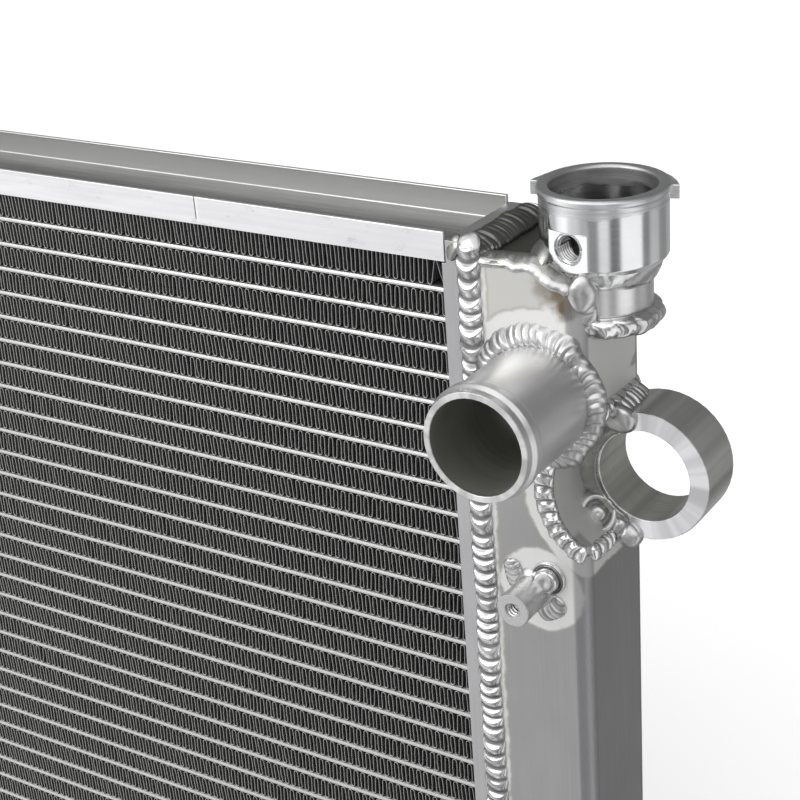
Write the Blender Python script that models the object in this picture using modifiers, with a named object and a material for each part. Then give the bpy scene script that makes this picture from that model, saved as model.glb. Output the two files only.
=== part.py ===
"""Aluminium cross-flow car radiator: flat-tube core, two welded side tanks and their fittings.

Core frame: X across the core, Y from the front face to the back, Z up from the base.
X = 0 is the middle of the core, Y = 0 its front face, Z = 0 the lower edge of the
bottom rail. The root empty then shifts the whole object along Y, so that the world
origin is the middle of its footprint. Sizes below are in millimetres.
"""
import math

import bmesh
import bpy

MM = 0.001
GAP = 0.3                      # clearance between neighbouring pieces

# Core
CORE_WIDTH = 580.0             # between the fin sides of the two header plates
CORE_DEPTH = 41.0
TUBE_COUNT = 36
TUBE_PITCH = 10.0
TUBE_THICK = 2.0
TUBE_WALL = 0.4
TUBE_FRONT = 1.6
FIRST_TUBE_Z = 20.0
LAST_TUBE_Z = FIRST_TUBE_Z + TUBE_PITCH * (TUBE_COUNT - 1)
TUBE_INSET = 5.0               # how far a tube end reaches past the header's fin side
FIN_FRONT = 2.0
FIN_WEB = 0.4

# Rails
RAIL_WALL = 1.5
RAIL_TALL = 9.8
RAIL_HALF_LENGTH = 291.15
HEIGHT = LAST_TUBE_Z + FIRST_TUBE_Z

# Header plates
HEADER_X = CORE_WIDTH / 2.0
HEADER_PLATE = 3.0
HEADER_FLANGE = 1.3
HEADER_REACH = 9.35
HEADER_END = 2.5               # header ends this far inside the rails' outer edges
HEADER_NOTCH_Z = 10.1          # height of the step that clears a rail end
SLOT_CLEAR = 0.3

# Tanks
TANK_WALL = 3.0
TANK_SEAM_X = HEADER_X + HEADER_REACH + GAP
TANK_SIDE_X = 337.65
TANK_DEPTH = 42.5
TANK_CORNER = 4.9
TANK_BOTTOM = 6.5
TANK_TOP = HEIGHT - TANK_BOTTOM
SLOPE_START_X = 320.85
SLOPE_END_X = 334.65
SLOPE_END_Z = 377.1

# Filler neck
NECK_X = 335.55
NECK_Y = 21.5
NECK_TOP = 404.9
NECK_BASE = 362.5
NECK_SPLIT = 376.9
NECK_SHOULDER = 382.9
NECK_RIM_R = 20.6
NECK_RIM_TALL = 2.2
NECK_RIM_ROUND = 0.7
NECK_BODY_R = 19.85
NECK_BORE_R = 16.76
NECK_SEAT_Z = 389.4
NECK_TUBE_R = 14.85
NECK_TUBE_BORE = 12.0
NECK_FLOOR = 3.0
EAR_ROOT_R = 18.4
EAR_TIP_R = 23.0
EAR_TALL = 4.5
EAR_DROP = 0.5
EAR_SPANS = (("inner", 168.0, 194.0), ("outer", 50.0, 16.0))
PORT_ANGLE = math.radians(-99.0)
PORT_Z = 388.8
PORT_R = 4.3
PORT_MOUTH_R = 4.9
PORT_MOUTH_DEEP = 0.7
FACET_ANGLE = math.radians(-99.0)
FACET_DISTANCE = 18.5
FACET_BOTTOM = 379.5
FACET_TOP = 394.0

# Hose outlets
OUTLET_X = 323.15
UPPER_OUTLET_Z = 340.6
LOWER_OUTLET_Z = HEIGHT - UPPER_OUTLET_Z
OUTLET_TIP_Y = -40.0
OUTLET_ROOT_Y = 7.0
OUTLET_R = 17.9
OUTLET_BORE = 15.6
OUTLET_BEAD_R = 18.8
TANK_PORT_R = 12.8

# Mount rings in their saddles
RING_X = 348.55
RING_Z = 309.0
RING_R = 22.5
RING_BORE = 15.8
RING_FRONT = 20.0
RING_WIDE = 19.6
SADDLE_WALL = 2.7

# Threaded bosses
BOSS_X = 318.35
BOSS_Z = 270.5
BOSS_R = 5.9
BOSS_REACH = 15.0
BOSS_HOLE_R = 2.65
BOSS_HOLE_DEEP = 12.0

# Drain, on the rear of the right tank
DRAIN_X = 318.35
DRAIN_Z = 32.0
BUNG_R = 11.0
BUNG_BORE = 6.2
BUNG_REACH = 8.0
SEAL_R = 9.0
SEAL_BORE = 6.3
SEAL_THICK = 1.6
PLUG_SHANK_R = 5.9
PLUG_SHANK_LONG = 12.0
PLUG_HEAD_R = 9.5
PLUG_HEAD_TALL = 7.0
PLUG_SOCKET_R = 4.0
PLUG_SOCKET_DEEP = 5.0

SEAL_Y = TANK_DEPTH + GAP + BUNG_REACH + GAP
PLUG_HEAD_Y = SEAL_Y + SEAL_THICK + GAP
FOOTPRINT_MIDDLE = (OUTLET_TIP_Y + PLUG_HEAD_Y + PLUG_HEAD_TALL) / 2.0

ALONG_X = (math.radians(90.0), 0.0, math.radians(90.0))
ALONG_Y = (math.radians(90.0), 0.0, 0.0)
TURNED_TO_BACK = (math.radians(-90.0), 0.0, 0.0)
TURNED_TO_FRONT = (math.radians(90.0), 0.0, 0.0)
UPRIGHT = (0.0, 0.0, 0.0)

# Base colour, metallic and roughness of each finish
FINISHES = {
    "fin": ((0.16, 0.16, 0.17), 0.8, 0.5),
    "tube": ((0.82, 0.83, 0.85), 1.0, 0.32),
    "sheet": ((0.62, 0.63, 0.65), 1.0, 0.38),
    "rail": ((0.80, 0.80, 0.80), 1.0, 0.40),
    "machined": ((0.78, 0.79, 0.81), 1.0, 0.22),
    "seal": ((0.03, 0.03, 0.03), 0.0, 0.7),
}


def clear_scene():
    for item in list(bpy.data.objects):
        bpy.data.objects.remove(item, do_unlink=True)


def new_collection(name):
    collection = bpy.data.collections.new(name)
    bpy.context.scene.collection.children.link(collection)
    return collection


def new_material(name, finish):
    color, metallic, roughness = FINISHES[finish]
    material = bpy.data.materials.new(name)
    material.use_nodes = True
    shader = material.node_tree.nodes["Principled BSDF"]
    shader.inputs["Base Color"].default_value = (*color, 1.0)
    shader.inputs["Metallic"].default_value = metallic
    shader.inputs["Roughness"].default_value = roughness
    return material


def place(item, where, turn=UPRIGHT):
    item.location = [value * MM for value in where]
    item.rotation_euler = turn
    return item


def add_part(name, mesh, finish, where=(0.0, 0.0, 0.0), turn=UPRIGHT):
    """A named piece of the radiator, placed in the core frame under the root."""
    item = bpy.data.objects.new(name, mesh)
    PARTS.objects.link(item)
    item.parent = ROOT
    if not mesh.materials:
        mesh.materials.append(new_material(name + "_finish", finish))
    return place(item, where, turn)


def add_cutter(name, mesh, where=(0.0, 0.0, 0.0), turn=UPRIGHT):
    item = bpy.data.objects.new(name, mesh)
    CUTTERS.objects.link(item)
    item.parent = ROOT
    item.hide_render = True
    item.display_type = "WIRE"
    return place(item, where, turn)


def combine(item, other, operation):
    modifier = item.modifiers.new(operation.lower() + "_" + other.name, "BOOLEAN")
    modifier.operation = operation
    modifier.object = other
    modifier.solver = "EXACT"


def cut(item, *cutters):
    for cutter in cutters:
        combine(item, cutter, "DIFFERENCE")


def box_mesh(name, size):
    mesh = bpy.data.meshes.new(name)
    shape = bmesh.new()
    bmesh.ops.create_cube(shape, size=1.0)
    bmesh.ops.scale(shape, vec=[value * MM for value in size], verts=shape.verts)
    shape.to_mesh(mesh)
    shape.free()
    return mesh


def cylinder_mesh(name, radius, length, segments):
    mesh = bpy.data.meshes.new(name)
    shape = bmesh.new()
    bmesh.ops.create_cone(
        shape, cap_ends=True, segments=segments,
        radius1=radius * MM, radius2=radius * MM, depth=length * MM)
    shape.to_mesh(mesh)
    shape.free()
    return mesh


def outline_mesh(name, loops, thickness):
    """A flat outline, with any holes, filled and given its thickness along local Z."""
    curve = bpy.data.curves.new(name, "CURVE")
    curve.dimensions = "2D"
    curve.fill_mode = "BOTH"
    curve.extrude = thickness * MM / 2.0
    for loop in loops:
        spline = curve.splines.new("POLY")
        spline.points.add(len(loop) - 1)
        for point, (x, y) in zip(spline.points, loop):
            point.co = (x * MM, y * MM, 0.0, 1.0)
        spline.use_cyclic_u = True
    source = bpy.data.objects.new(name + "_curve", curve)
    CUTTERS.objects.link(source)
    graph = bpy.context.evaluated_depsgraph_get()
    mesh = bpy.data.meshes.new_from_object(source.evaluated_get(graph))
    bpy.data.objects.remove(source, do_unlink=True)
    mesh.name = name
    shape = bmesh.new()
    shape.from_mesh(mesh)
    bmesh.ops.remove_doubles(shape, verts=shape.verts, dist=0.000001)
    bmesh.ops.recalc_face_normals(shape, faces=shape.faces)
    shape.to_mesh(mesh)
    shape.free()
    return mesh


def arc(center, radius, start, end, steps):
    """Points along an arc, angles in degrees, both ends included."""
    points = []
    for index in range(steps + 1):
        angle = math.radians(start + (end - start) * index / steps)
        points.append((center[0] + radius * math.cos(angle),
                       center[1] + radius * math.sin(angle)))
    return points


def turned(item, steps):
    """Spin the item's profile, drawn in its local XZ plane, about its local Z axis."""
    screw = item.modifiers.new("turn", "SCREW")
    screw.axis = "Z"
    screw.steps = steps
    screw.render_steps = steps
    screw.use_merge_vertices = True
    screw.merge_threshold = 0.00001
    screw.use_smooth_shade = True
    return item


def profile_mesh(name, points, closed):
    """Edges through (radius, height) points, run down the outer side first."""
    mesh = bpy.data.meshes.new(name)
    shape = bmesh.new()
    corners = [shape.verts.new((radius * MM, 0.0, height * MM)) for radius, height in points]
    for start, end in zip(corners, corners[1:]):
        shape.edges.new((start, end))
    if closed:
        shape.edges.new((corners[-1], corners[0]))
    shape.to_mesh(mesh)
    shape.free()
    return mesh


def ring_profile(outer, inner, tall):
    """A plain ring's section, standing on height 0."""
    return [(outer, tall), (outer, 0.0), (inner, 0.0), (inner, tall)]


def obround(middle, long, thick, steps):
    """A flat oval: straight sides along the first axis and round ends."""
    reach = (long - thick) / 2.0
    radius = thick / 2.0
    back = arc((middle[0] + reach, middle[1]), radius, -90.0, 90.0, steps)
    front = arc((middle[0] - reach, middle[1]), radius, 90.0, 270.0, steps)
    return back + front


def tube_heights():
    return [FIRST_TUBE_Z + TUBE_PITCH * index for index in range(TUBE_COUNT)]


def make_tubes():
    long = CORE_DEPTH - 2.0 * TUBE_FRONT
    outer = obround((0.0, 0.0), long, TUBE_THICK, 4)
    inner = obround((0.0, 0.0), long - 2.0 * TUBE_WALL, TUBE_THICK - 2.0 * TUBE_WALL, 2)
    length = CORE_WIDTH + 2.0 * TUBE_INSET
    mesh = outline_mesh("core_tube", [outer, inner], length)
    for index, height in enumerate(tube_heights(), start=1):
        add_part(f"core_tube_{index:02d}", mesh, "tube",
                 (0.0, CORE_DEPTH / 2.0, height), ALONG_X)


def make_fin_pack():
    """The folded fin strips, as one plain comb: a bar fills each space between tubes."""
    tooth_front = FIN_FRONT
    root = CORE_DEPTH - TUBE_FRONT + GAP
    back = root + FIN_WEB
    half_slot = TUBE_THICK / 2.0 + GAP
    bottom = RAIL_TALL + GAP
    comb = [(back, bottom), (tooth_front, bottom)]
    for height in tube_heights():
        comb.append((tooth_front, height - half_slot))
        comb.append((root, height - half_slot))
        comb.append((root, height + half_slot))
        comb.append((tooth_front, height + half_slot))
    top = HEIGHT - bottom
    comb.append((tooth_front, top))
    comb.append((back, top))
    mesh = outline_mesh("fin_pack", [comb], CORE_WIDTH - 2.0 * GAP)
    add_part("fin_pack", mesh, "fin", (0.0, 0.0, 0.0), ALONG_X)


def make_rails():
    """Two channels, each with its web against the core and its flanges away from it."""
    section = [
        (0.0, 0.0), (CORE_DEPTH, 0.0), (CORE_DEPTH, RAIL_TALL),
        (CORE_DEPTH - RAIL_WALL, RAIL_TALL), (CORE_DEPTH - RAIL_WALL, RAIL_WALL),
        (RAIL_WALL, RAIL_WALL), (RAIL_WALL, RAIL_TALL), (0.0, RAIL_TALL),
    ]
    upside_down = [(y, RAIL_TALL - z) for y, z in section]
    length = 2.0 * RAIL_HALF_LENGTH
    top = outline_mesh("top_rail", [section], length)
    bottom = outline_mesh("bottom_rail", [upside_down], length)
    add_part("top_rail", top, "rail", (0.0, 0.0, HEIGHT - RAIL_TALL), ALONG_X)
    add_part("bottom_rail", bottom, "rail", (0.0, 0.0, 0.0), ALONG_X)


def make_header_plate(side, side_name):
    """A tray with a slot for each tube, its flanges turned towards the tank."""
    name = "header_plate_" + side_name
    low = HEADER_END
    high = HEIGHT - HEADER_END
    plate = [(0.0, low), (CORE_DEPTH, low), (CORE_DEPTH, high), (0.0, high)]
    slots = []
    for height in tube_heights():
        long = CORE_DEPTH - 2.0 * TUBE_FRONT + 2.0 * SLOT_CLEAR
        slots.append(obround((CORE_DEPTH / 2.0, height), long, TUBE_THICK + 2.0 * SLOT_CLEAR, 4))
    plate_x = side * (HEADER_X + HEADER_PLATE / 2.0)
    base = add_part(name, outline_mesh(name, [plate] + slots, HEADER_PLATE), "sheet",
                    (plate_x, 0.0, 0.0), ALONG_X)

    inner = [
        (HEADER_FLANGE, low + HEADER_PLATE), (CORE_DEPTH - HEADER_FLANGE, low + HEADER_PLATE),
        (CORE_DEPTH - HEADER_FLANGE, high - HEADER_PLATE), (HEADER_FLANGE, high - HEADER_PLATE),
    ]
    rim_long = HEADER_REACH - HEADER_PLATE / 2.0
    rim_x = side * (HEADER_X + HEADER_PLATE / 2.0 + rim_long / 2.0)
    rim = add_cutter(name + "_rim", outline_mesh(name + "_rim", [plate, inner], rim_long),
                     (rim_x, 0.0, 0.0), ALONG_X)
    combine(base, rim, "UNION")

    notch_wide = RAIL_HALF_LENGTH - HEADER_X + GAP
    for level, at in (("low", 0.0), ("high", HEIGHT)):
        notch = add_cutter(
            f"{name}_notch_{level}",
            box_mesh(f"{name}_notch_{level}",
                     (2.0 * notch_wide, CORE_DEPTH + 10.0, 2.0 * HEADER_NOTCH_Z)),
            (side * HEADER_X, CORE_DEPTH / 2.0, at))
        cut(base, notch)


def tank_outline(side, grow):
    """The tank's outer outline seen from above, from the header seam round and back."""
    radius = TANK_CORNER + grow
    center_x = TANK_SIDE_X - TANK_CORNER
    front = arc((center_x, TANK_CORNER), radius, -90.0, 0.0, 5)
    back = arc((center_x, TANK_DEPTH - TANK_CORNER), radius, 0.0, 90.0, 5)
    path = [(TANK_SEAM_X, -grow)] + front + back + [(TANK_SEAM_X, TANK_DEPTH + grow)]
    return [(side * x, y) for x, y in path]


def tank_envelope(name, side, grow, tall, z):
    """A solid block with the tank's outer shape, used to trim its fittings."""
    mesh = outline_mesh(name, [tank_outline(side, grow)], tall)
    return add_cutter(name, mesh, (0.0, 0.0, z))


def cross_cutter(name, radius, x, z, front, back, segments=32):
    """A round cutter that runs from front to back."""
    mesh = cylinder_mesh(name, radius, back - front, segments)
    return add_cutter(name, mesh, (x, (front + back) / 2.0, z), ALONG_Y)


def neck_clearance():
    """The room that the filler neck takes out of the tank and its top cap."""
    tube_r = NECK_TUBE_R + GAP
    body_r = NECK_BODY_R + GAP
    points = [
        (0.0, NECK_TOP + 5.0), (body_r, NECK_TOP + 5.0), (body_r, NECK_SHOULDER - GAP),
        (tube_r, NECK_SPLIT - GAP), (tube_r, NECK_BASE - GAP), (0.0, NECK_BASE - GAP),
    ]
    item = add_cutter("neck_clearance", profile_mesh("neck_clearance", points, False),
                      (NECK_X, NECK_Y, 0.0))
    return turned(item, 32)


def slope_cutter():
    """Takes the front and back walls down beside the filler neck."""
    points = [
        (SLOPE_START_X, TANK_TOP), (SLOPE_END_X, SLOPE_END_Z), (TANK_SIDE_X + 10.0, SLOPE_END_Z),
        (TANK_SIDE_X + 10.0, TANK_TOP + 10.0), (SLOPE_START_X, TANK_TOP + 10.0),
    ]
    mesh = outline_mesh("tank_slope", [points], TANK_DEPTH + 20.0)
    return add_cutter("tank_slope", mesh, (0.0, TANK_DEPTH / 2.0, 0.0), ALONG_Y)


def make_tank(side, side_name, outlet_z):
    """The bent sheet of a side tank, open towards its header plate."""
    outer = tank_outline(side, 0.0)
    inner = tank_outline(side, -TANK_WALL)
    name = "tank_" + side_name
    mesh = outline_mesh(name, [outer + inner[::-1]], TANK_TOP - TANK_BOTTOM)
    tank = add_part(name, mesh, "sheet", (0.0, 0.0, (TANK_TOP + TANK_BOTTOM) / 2.0))
    scoop_r = RING_R + GAP + SADDLE_WALL + GAP
    scoop = cross_cutter("scoop_" + side_name, scoop_r, side * RING_X, RING_Z,
                         -10.0, TANK_DEPTH + 10.0, 40)
    port = cross_cutter("port_" + side_name, TANK_PORT_R, side * OUTLET_X, outlet_z, -5.0, 4.0)
    cut(tank, scoop, port)
    return tank


def make_end_cap(name, side, z, flat=True):
    """A plate set between the tank's walls, level with their ends."""
    inset = TANK_WALL + GAP
    start = TANK_SEAM_X + GAP
    end = TANK_SIDE_X - inset
    if flat:
        path = [(start, z), (end, z), (end, z + TANK_WALL), (start, z + TANK_WALL)]
    else:
        drop = TANK_TOP - SLOPE_END_Z
        path = [(start, z), (SLOPE_START_X, z), (end, z - drop), (end, z - drop + TANK_WALL),
                (SLOPE_START_X, z + TANK_WALL), (start, z + TANK_WALL)]
    loop = [(side * x, height) for x, height in path]
    cap = add_part(name, outline_mesh(name, [loop], TANK_DEPTH), "sheet",
                   (0.0, TANK_DEPTH / 2.0, 0.0), ALONG_Y)
    combine(cap, tank_envelope(name + "_trim", side, -inset, 60.0, z), "INTERSECT")
    return cap


def ear_outline(start, end):
    """A cam lug that grows steadily out of the rim and ends in a square step."""
    outer = []
    inner = []
    for step in range(7):
        share = step / 6.0
        angle = math.radians(start + share * (end - start))
        reach = NECK_RIM_R - 0.3 + share * (EAR_TIP_R - NECK_RIM_R + 0.3)
        outer.append((reach * math.cos(angle), reach * math.sin(angle)))
        inner.append((EAR_ROOT_R * math.cos(angle), EAR_ROOT_R * math.sin(angle)))
    return outer + inner[::-1]


def make_filler_neck():
    """The machined neck, with its cam ears, port flat and side port, over a closed cup."""
    rim_under = NECK_TOP - NECK_RIM_TALL
    body = [
        (NECK_RIM_R - NECK_RIM_ROUND, NECK_TOP), (NECK_RIM_R, NECK_TOP - NECK_RIM_ROUND),
        (NECK_RIM_R, rim_under), (NECK_BODY_R, rim_under - 0.6), (NECK_BODY_R, NECK_SHOULDER),
        (NECK_TUBE_R, NECK_SPLIT), (NECK_TUBE_BORE, NECK_SPLIT), (NECK_TUBE_BORE, NECK_SEAT_Z),
        (NECK_BORE_R, NECK_SEAT_Z), (NECK_BORE_R, NECK_TOP - NECK_RIM_ROUND),
        (NECK_BORE_R + NECK_RIM_ROUND, NECK_TOP),
    ]
    neck = turned(add_part("filler_neck", profile_mesh("filler_neck", body, True), "machined",
                           (NECK_X, NECK_Y, 0.0)), 40)
    for label, start, end in EAR_SPANS:
        name = "ear_" + label
        ear = add_cutter(name, outline_mesh(name, [ear_outline(start, end)], EAR_TALL),
                         (NECK_X, NECK_Y, NECK_TOP - EAR_DROP - EAR_TALL / 2.0))
        combine(neck, ear, "UNION")

    tall = FACET_TOP - FACET_BOTTOM
    facet = add_cutter("neck_facet", box_mesh("neck_facet", (10.0, 30.0, tall)))
    place(facet, (NECK_X + (FACET_DISTANCE + 5.0) * math.cos(FACET_ANGLE),
                  NECK_Y + (FACET_DISTANCE + 5.0) * math.sin(FACET_ANGLE),
                  (FACET_TOP + FACET_BOTTOM) / 2.0), (0.0, 0.0, FACET_ANGLE))
    port = add_cutter("neck_port", cylinder_mesh("neck_port", PORT_R, 14.0, 20))
    place(port, (NECK_X + 18.0 * math.cos(PORT_ANGLE), NECK_Y + 18.0 * math.sin(PORT_ANGLE),
                 PORT_Z), (math.radians(90.0), 0.0, PORT_ANGLE + math.radians(90.0)))
    mouth = add_cutter("neck_port_mouth", cylinder_mesh("neck_port_mouth", PORT_MOUTH_R, 8.0, 24))
    mouth_reach = FACET_DISTANCE - PORT_MOUTH_DEEP + 4.0
    place(mouth, (NECK_X + mouth_reach * math.cos(PORT_ANGLE),
                  NECK_Y + mouth_reach * math.sin(PORT_ANGLE), PORT_Z),
          (math.radians(90.0), 0.0, PORT_ANGLE + math.radians(90.0)))
    cut(neck, facet, port, mouth)

    cup_points = [
        (NECK_TUBE_R, NECK_SPLIT - GAP), (NECK_TUBE_R, NECK_BASE), (0.0, NECK_BASE),
        (0.0, NECK_BASE + NECK_FLOOR), (NECK_TUBE_BORE, NECK_BASE + NECK_FLOOR),
        (NECK_TUBE_BORE, NECK_SPLIT - GAP),
    ]
    cup = turned(add_part("filler_neck_cup", profile_mesh("filler_neck_cup", cup_points, True),
                          "machined", (NECK_X, NECK_Y, 0.0)), 40)
    window = add_cutter("neck_window", box_mesh("neck_window", (12.0, 16.0, 7.0)),
                        (NECK_X - NECK_TUBE_R, NECK_Y, NECK_BASE + NECK_FLOOR + 4.0))
    cut(cup, window)


def make_hose_outlet(name, side, z):
    """A spun tube with a rolled hose bead, its root coped over the tank's corner."""
    long = OUTLET_ROOT_Y - OUTLET_TIP_Y
    lip = OUTLET_R - 0.2
    points = [
        (lip, long), (lip, long - 2.5), (OUTLET_BEAD_R, long - 4.0),
        (OUTLET_BEAD_R, long - 6.5), (OUTLET_R, long - 8.5), (OUTLET_R, 0.0),
        (OUTLET_BORE, 0.0), (OUTLET_BORE, long),
    ]
    outlet = turned(add_part(name, profile_mesh(name, points, True), "machined",
                             (side * OUTLET_X, OUTLET_ROOT_Y, z), TURNED_TO_FRONT), 40)
    cut(outlet, tank_envelope(name + "_cope", side, GAP, 60.0, z))


def make_ring_mount(side, side_name):
    """A cross tube for a mounting bush, lying in a saddle let into the tank's corner."""
    ring = ring_profile(RING_R, RING_BORE, RING_WIDE)
    name = "mount_ring_" + side_name
    turned(add_part(name, profile_mesh(name, ring, True), "machined",
                    (side * RING_X, RING_FRONT, RING_Z), TURNED_TO_BACK), 40)

    inner_r = RING_R + GAP
    outer_r = inner_r + SADDLE_WALL
    bow = arc((RING_X, RING_Z), outer_r, 100.0, 260.0, 16)
    bow += arc((RING_X, RING_Z), inner_r, 260.0, 100.0, 16)
    loop = [(side * x, z) for x, z in bow]
    name = "mount_saddle_" + side_name
    saddle = add_part(name, outline_mesh(name, [loop], TANK_DEPTH + 4.0), "sheet",
                      (0.0, TANK_DEPTH / 2.0, 0.0), ALONG_Y)
    combine(saddle, tank_envelope(name + "_trim", side, 0.0, 80.0, RING_Z), "INTERSECT")


def make_boss(side, side_name):
    """A round stand-off on the tank's front, with a blind threaded hole."""
    floor = BOSS_REACH - BOSS_HOLE_DEEP
    points = [
        (BOSS_R, BOSS_REACH), (BOSS_R, GAP), (0.0, GAP), (0.0, floor),
        (BOSS_HOLE_R, floor), (BOSS_HOLE_R, BOSS_REACH),
    ]
    name = "threaded_boss_" + side_name
    turned(add_part(name, profile_mesh(name, points, True), "machined",
                    (side * BOSS_X, 0.0, BOSS_Z), TURNED_TO_FRONT), 24)


def make_drain(tank):
    """A welded bung, a seal and a screw plug that turns out along the bung's axis."""
    cut(tank, cross_cutter("drain_hole", BUNG_BORE, DRAIN_X, DRAIN_Z,
                           TANK_DEPTH - 6.0, TANK_DEPTH + 6.0, 24))
    bung = ring_profile(BUNG_R, BUNG_BORE, BUNG_REACH)
    turned(add_part("drain_bung", profile_mesh("drain_bung", bung, True), "machined",
                    (DRAIN_X, TANK_DEPTH + GAP, DRAIN_Z), TURNED_TO_BACK), 24)
    seal = ring_profile(SEAL_R, SEAL_BORE, SEAL_THICK)
    turned(add_part("drain_seal", profile_mesh("drain_seal", seal, True), "seal",
                    (DRAIN_X, SEAL_Y, DRAIN_Z), TURNED_TO_BACK), 24)
    socket_floor = PLUG_HEAD_TALL - PLUG_SOCKET_DEEP
    plug = [
        (PLUG_HEAD_R - 1.0, PLUG_HEAD_TALL), (PLUG_HEAD_R, PLUG_HEAD_TALL - 1.0),
        (PLUG_HEAD_R, 0.0), (PLUG_SHANK_R, 0.0), (PLUG_SHANK_R, -PLUG_SHANK_LONG),
        (0.0, -PLUG_SHANK_LONG), (0.0, socket_floor),
        (PLUG_SOCKET_R, socket_floor), (PLUG_SOCKET_R, PLUG_HEAD_TALL),
    ]
    turned(add_part("drain_plug", profile_mesh("drain_plug", plug, True), "machined",
                    (DRAIN_X, PLUG_HEAD_Y, DRAIN_Z), TURNED_TO_BACK), 24)


def make_radiator():
    make_tubes()
    make_fin_pack()
    make_rails()
    for side, side_name in ((1.0, "right"), (-1.0, "left")):
        make_header_plate(side, side_name)
        make_ring_mount(side, side_name)
        make_boss(side, side_name)
        make_end_cap("tank_bottom_cap_" + side_name, side, TANK_BOTTOM)
    tank_right = make_tank(1.0, "right", UPPER_OUTLET_Z)
    make_tank(-1.0, "left", LOWER_OUTLET_Z)
    top_cap = make_end_cap("tank_top_cap_right", 1.0, TANK_TOP - TANK_WALL, flat=False)
    make_end_cap("tank_top_cap_left", -1.0, TANK_TOP - TANK_WALL)
    clearance = neck_clearance()
    cut(tank_right, slope_cutter(), clearance)
    cut(top_cap, clearance)
    make_filler_neck()
    make_hose_outlet("upper_hose_outlet", 1.0, UPPER_OUTLET_Z)
    make_hose_outlet("lower_hose_outlet", -1.0, LOWER_OUTLET_Z)
    make_drain(tank_right)


clear_scene()
PARTS = new_collection("car_radiator")
CUTTERS = new_collection("cutters")
ROOT = bpy.data.objects.new("radiator_root", None)
PARTS.objects.link(ROOT)
ROOT.location = (0.0, -FOOTPRINT_MIDDLE * MM, 0.0)
make_radiator()
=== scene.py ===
"""Looks of the aluminium car radiator: folded fins, weld beads, threads and metal finishes.

Lengths in the constants are millimetres, which MM turns into metres, except where a comment
says metres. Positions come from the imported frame. The object's front is its -Y side, and the
filler tank is at +X.
"""
import math

import bmesh
import bpy
import numpy as np
from mathutils import Matrix, Vector


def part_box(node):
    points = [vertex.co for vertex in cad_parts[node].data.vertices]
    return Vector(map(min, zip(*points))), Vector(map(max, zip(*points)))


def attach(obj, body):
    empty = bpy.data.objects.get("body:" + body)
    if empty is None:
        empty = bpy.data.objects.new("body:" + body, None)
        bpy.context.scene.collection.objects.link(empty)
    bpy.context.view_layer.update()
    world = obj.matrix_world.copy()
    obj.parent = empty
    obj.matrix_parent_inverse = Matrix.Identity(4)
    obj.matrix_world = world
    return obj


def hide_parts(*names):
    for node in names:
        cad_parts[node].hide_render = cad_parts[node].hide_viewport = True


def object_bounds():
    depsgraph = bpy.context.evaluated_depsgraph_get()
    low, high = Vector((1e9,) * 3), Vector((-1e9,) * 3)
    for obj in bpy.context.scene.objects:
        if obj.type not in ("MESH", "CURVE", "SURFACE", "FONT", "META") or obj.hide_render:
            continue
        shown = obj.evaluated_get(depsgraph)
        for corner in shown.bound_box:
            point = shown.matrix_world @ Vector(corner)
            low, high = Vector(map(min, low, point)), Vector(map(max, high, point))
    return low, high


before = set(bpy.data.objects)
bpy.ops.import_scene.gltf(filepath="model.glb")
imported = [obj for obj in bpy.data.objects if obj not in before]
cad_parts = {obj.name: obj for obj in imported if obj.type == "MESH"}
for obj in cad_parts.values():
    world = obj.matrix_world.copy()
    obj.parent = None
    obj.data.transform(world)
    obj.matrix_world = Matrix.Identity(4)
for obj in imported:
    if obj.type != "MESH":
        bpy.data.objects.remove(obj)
CAD_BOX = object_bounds()

MM = 0.001
ROOT_BODY = "radiator"

# Camera: where it stands, in metres, and how it looks
CAMERA_AT = (0.55857, -0.42724, 0.55712)
CAMERA_AZIMUTH = 32.36
CAMERA_ELEVATION = 24.36
CAMERA_ROLL = -3.45
CAMERA_LENS = 76.45
CAMERA_SHIFT = (-0.0766, 0.0019)

# Studio, in metres: the floor, the lamps (name, place, size, power) and the soft cards round it
# (compass bearing from +X towards +Y, and brightness)
FLOOR_REACH = 12.0
FLOOR_GLOW = 0.45
LAMPS = (
    ("key", (-0.9, -1.6, 1.5), (1.2, 0.9), 12.0),
    ("top", (0.2, -0.2, 2.2), (1.4, 1.0), 4.0),
)
CARDS = (
    (-178.0, 0.55), (-160.0, 0.62), (-150.0, 1.15), (-136.0, 1.35), (-126.0, 0.85),
    (-112.0, 0.75), (-100.0, 0.50), (-88.0, 0.30), (-76.0, 0.30), (-70.0, 0.85), (-58.0, 0.85),
    (-51.0, 0.18), (-38.0, 0.24), (-32.0, 1.08), (4.0, 1.08), (9.0, 0.26), (20.0, 0.26),
    (27.0, 0.55), (44.0, 0.52), (52.0, 0.30), (70.0, 0.27), (84.0, 0.42), (110.0, 0.36),
    (150.0, 0.40),
)

# Edges of the CAD nodes
CREASE_ANGLE = 19.5
BEVEL_ANGLE = 32.0
NECK_BEVEL_ANGLE = 19.5

# Core and its fins
TUBE_HALF = 1.0
FIN_PITCH = 3.2
FIN_FOIL = 0.2
FIN_FRONT = 2.0
FIN_BACK = 39.4
FIN_END_GAP = 0.4
FIN_CLEAR = 0.1
FIN_WANDER = 0.10
FIN_LEAN = 0.22
FIN_LEAN_SPACING = 23.0
ROWS_PER_PIECE = 4
# The top strip ends in one wide fold: distance from its end, and share of its height
WIDE_END = 4.8
WIDE_FOLD = ((3.6, 0.40), (3.1, 0.49), (2.7, 0.44), (1.5, -0.1), (0.3, -0.48))

# Sheet
SLIT_X = 193.2
TANK_CORNER = 4.9
TANK_WALL = 3.0
# In metres, the heights between which a tank's sheet turns paler
PALE_HEIGHTS = (0.285, 0.375)

# Bores, as radii
NECK_BORE = 16.9
OUTLET_BORE = 15.6
RING_BORE = 15.8
RING_OUTSIDE = 22.5

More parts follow.
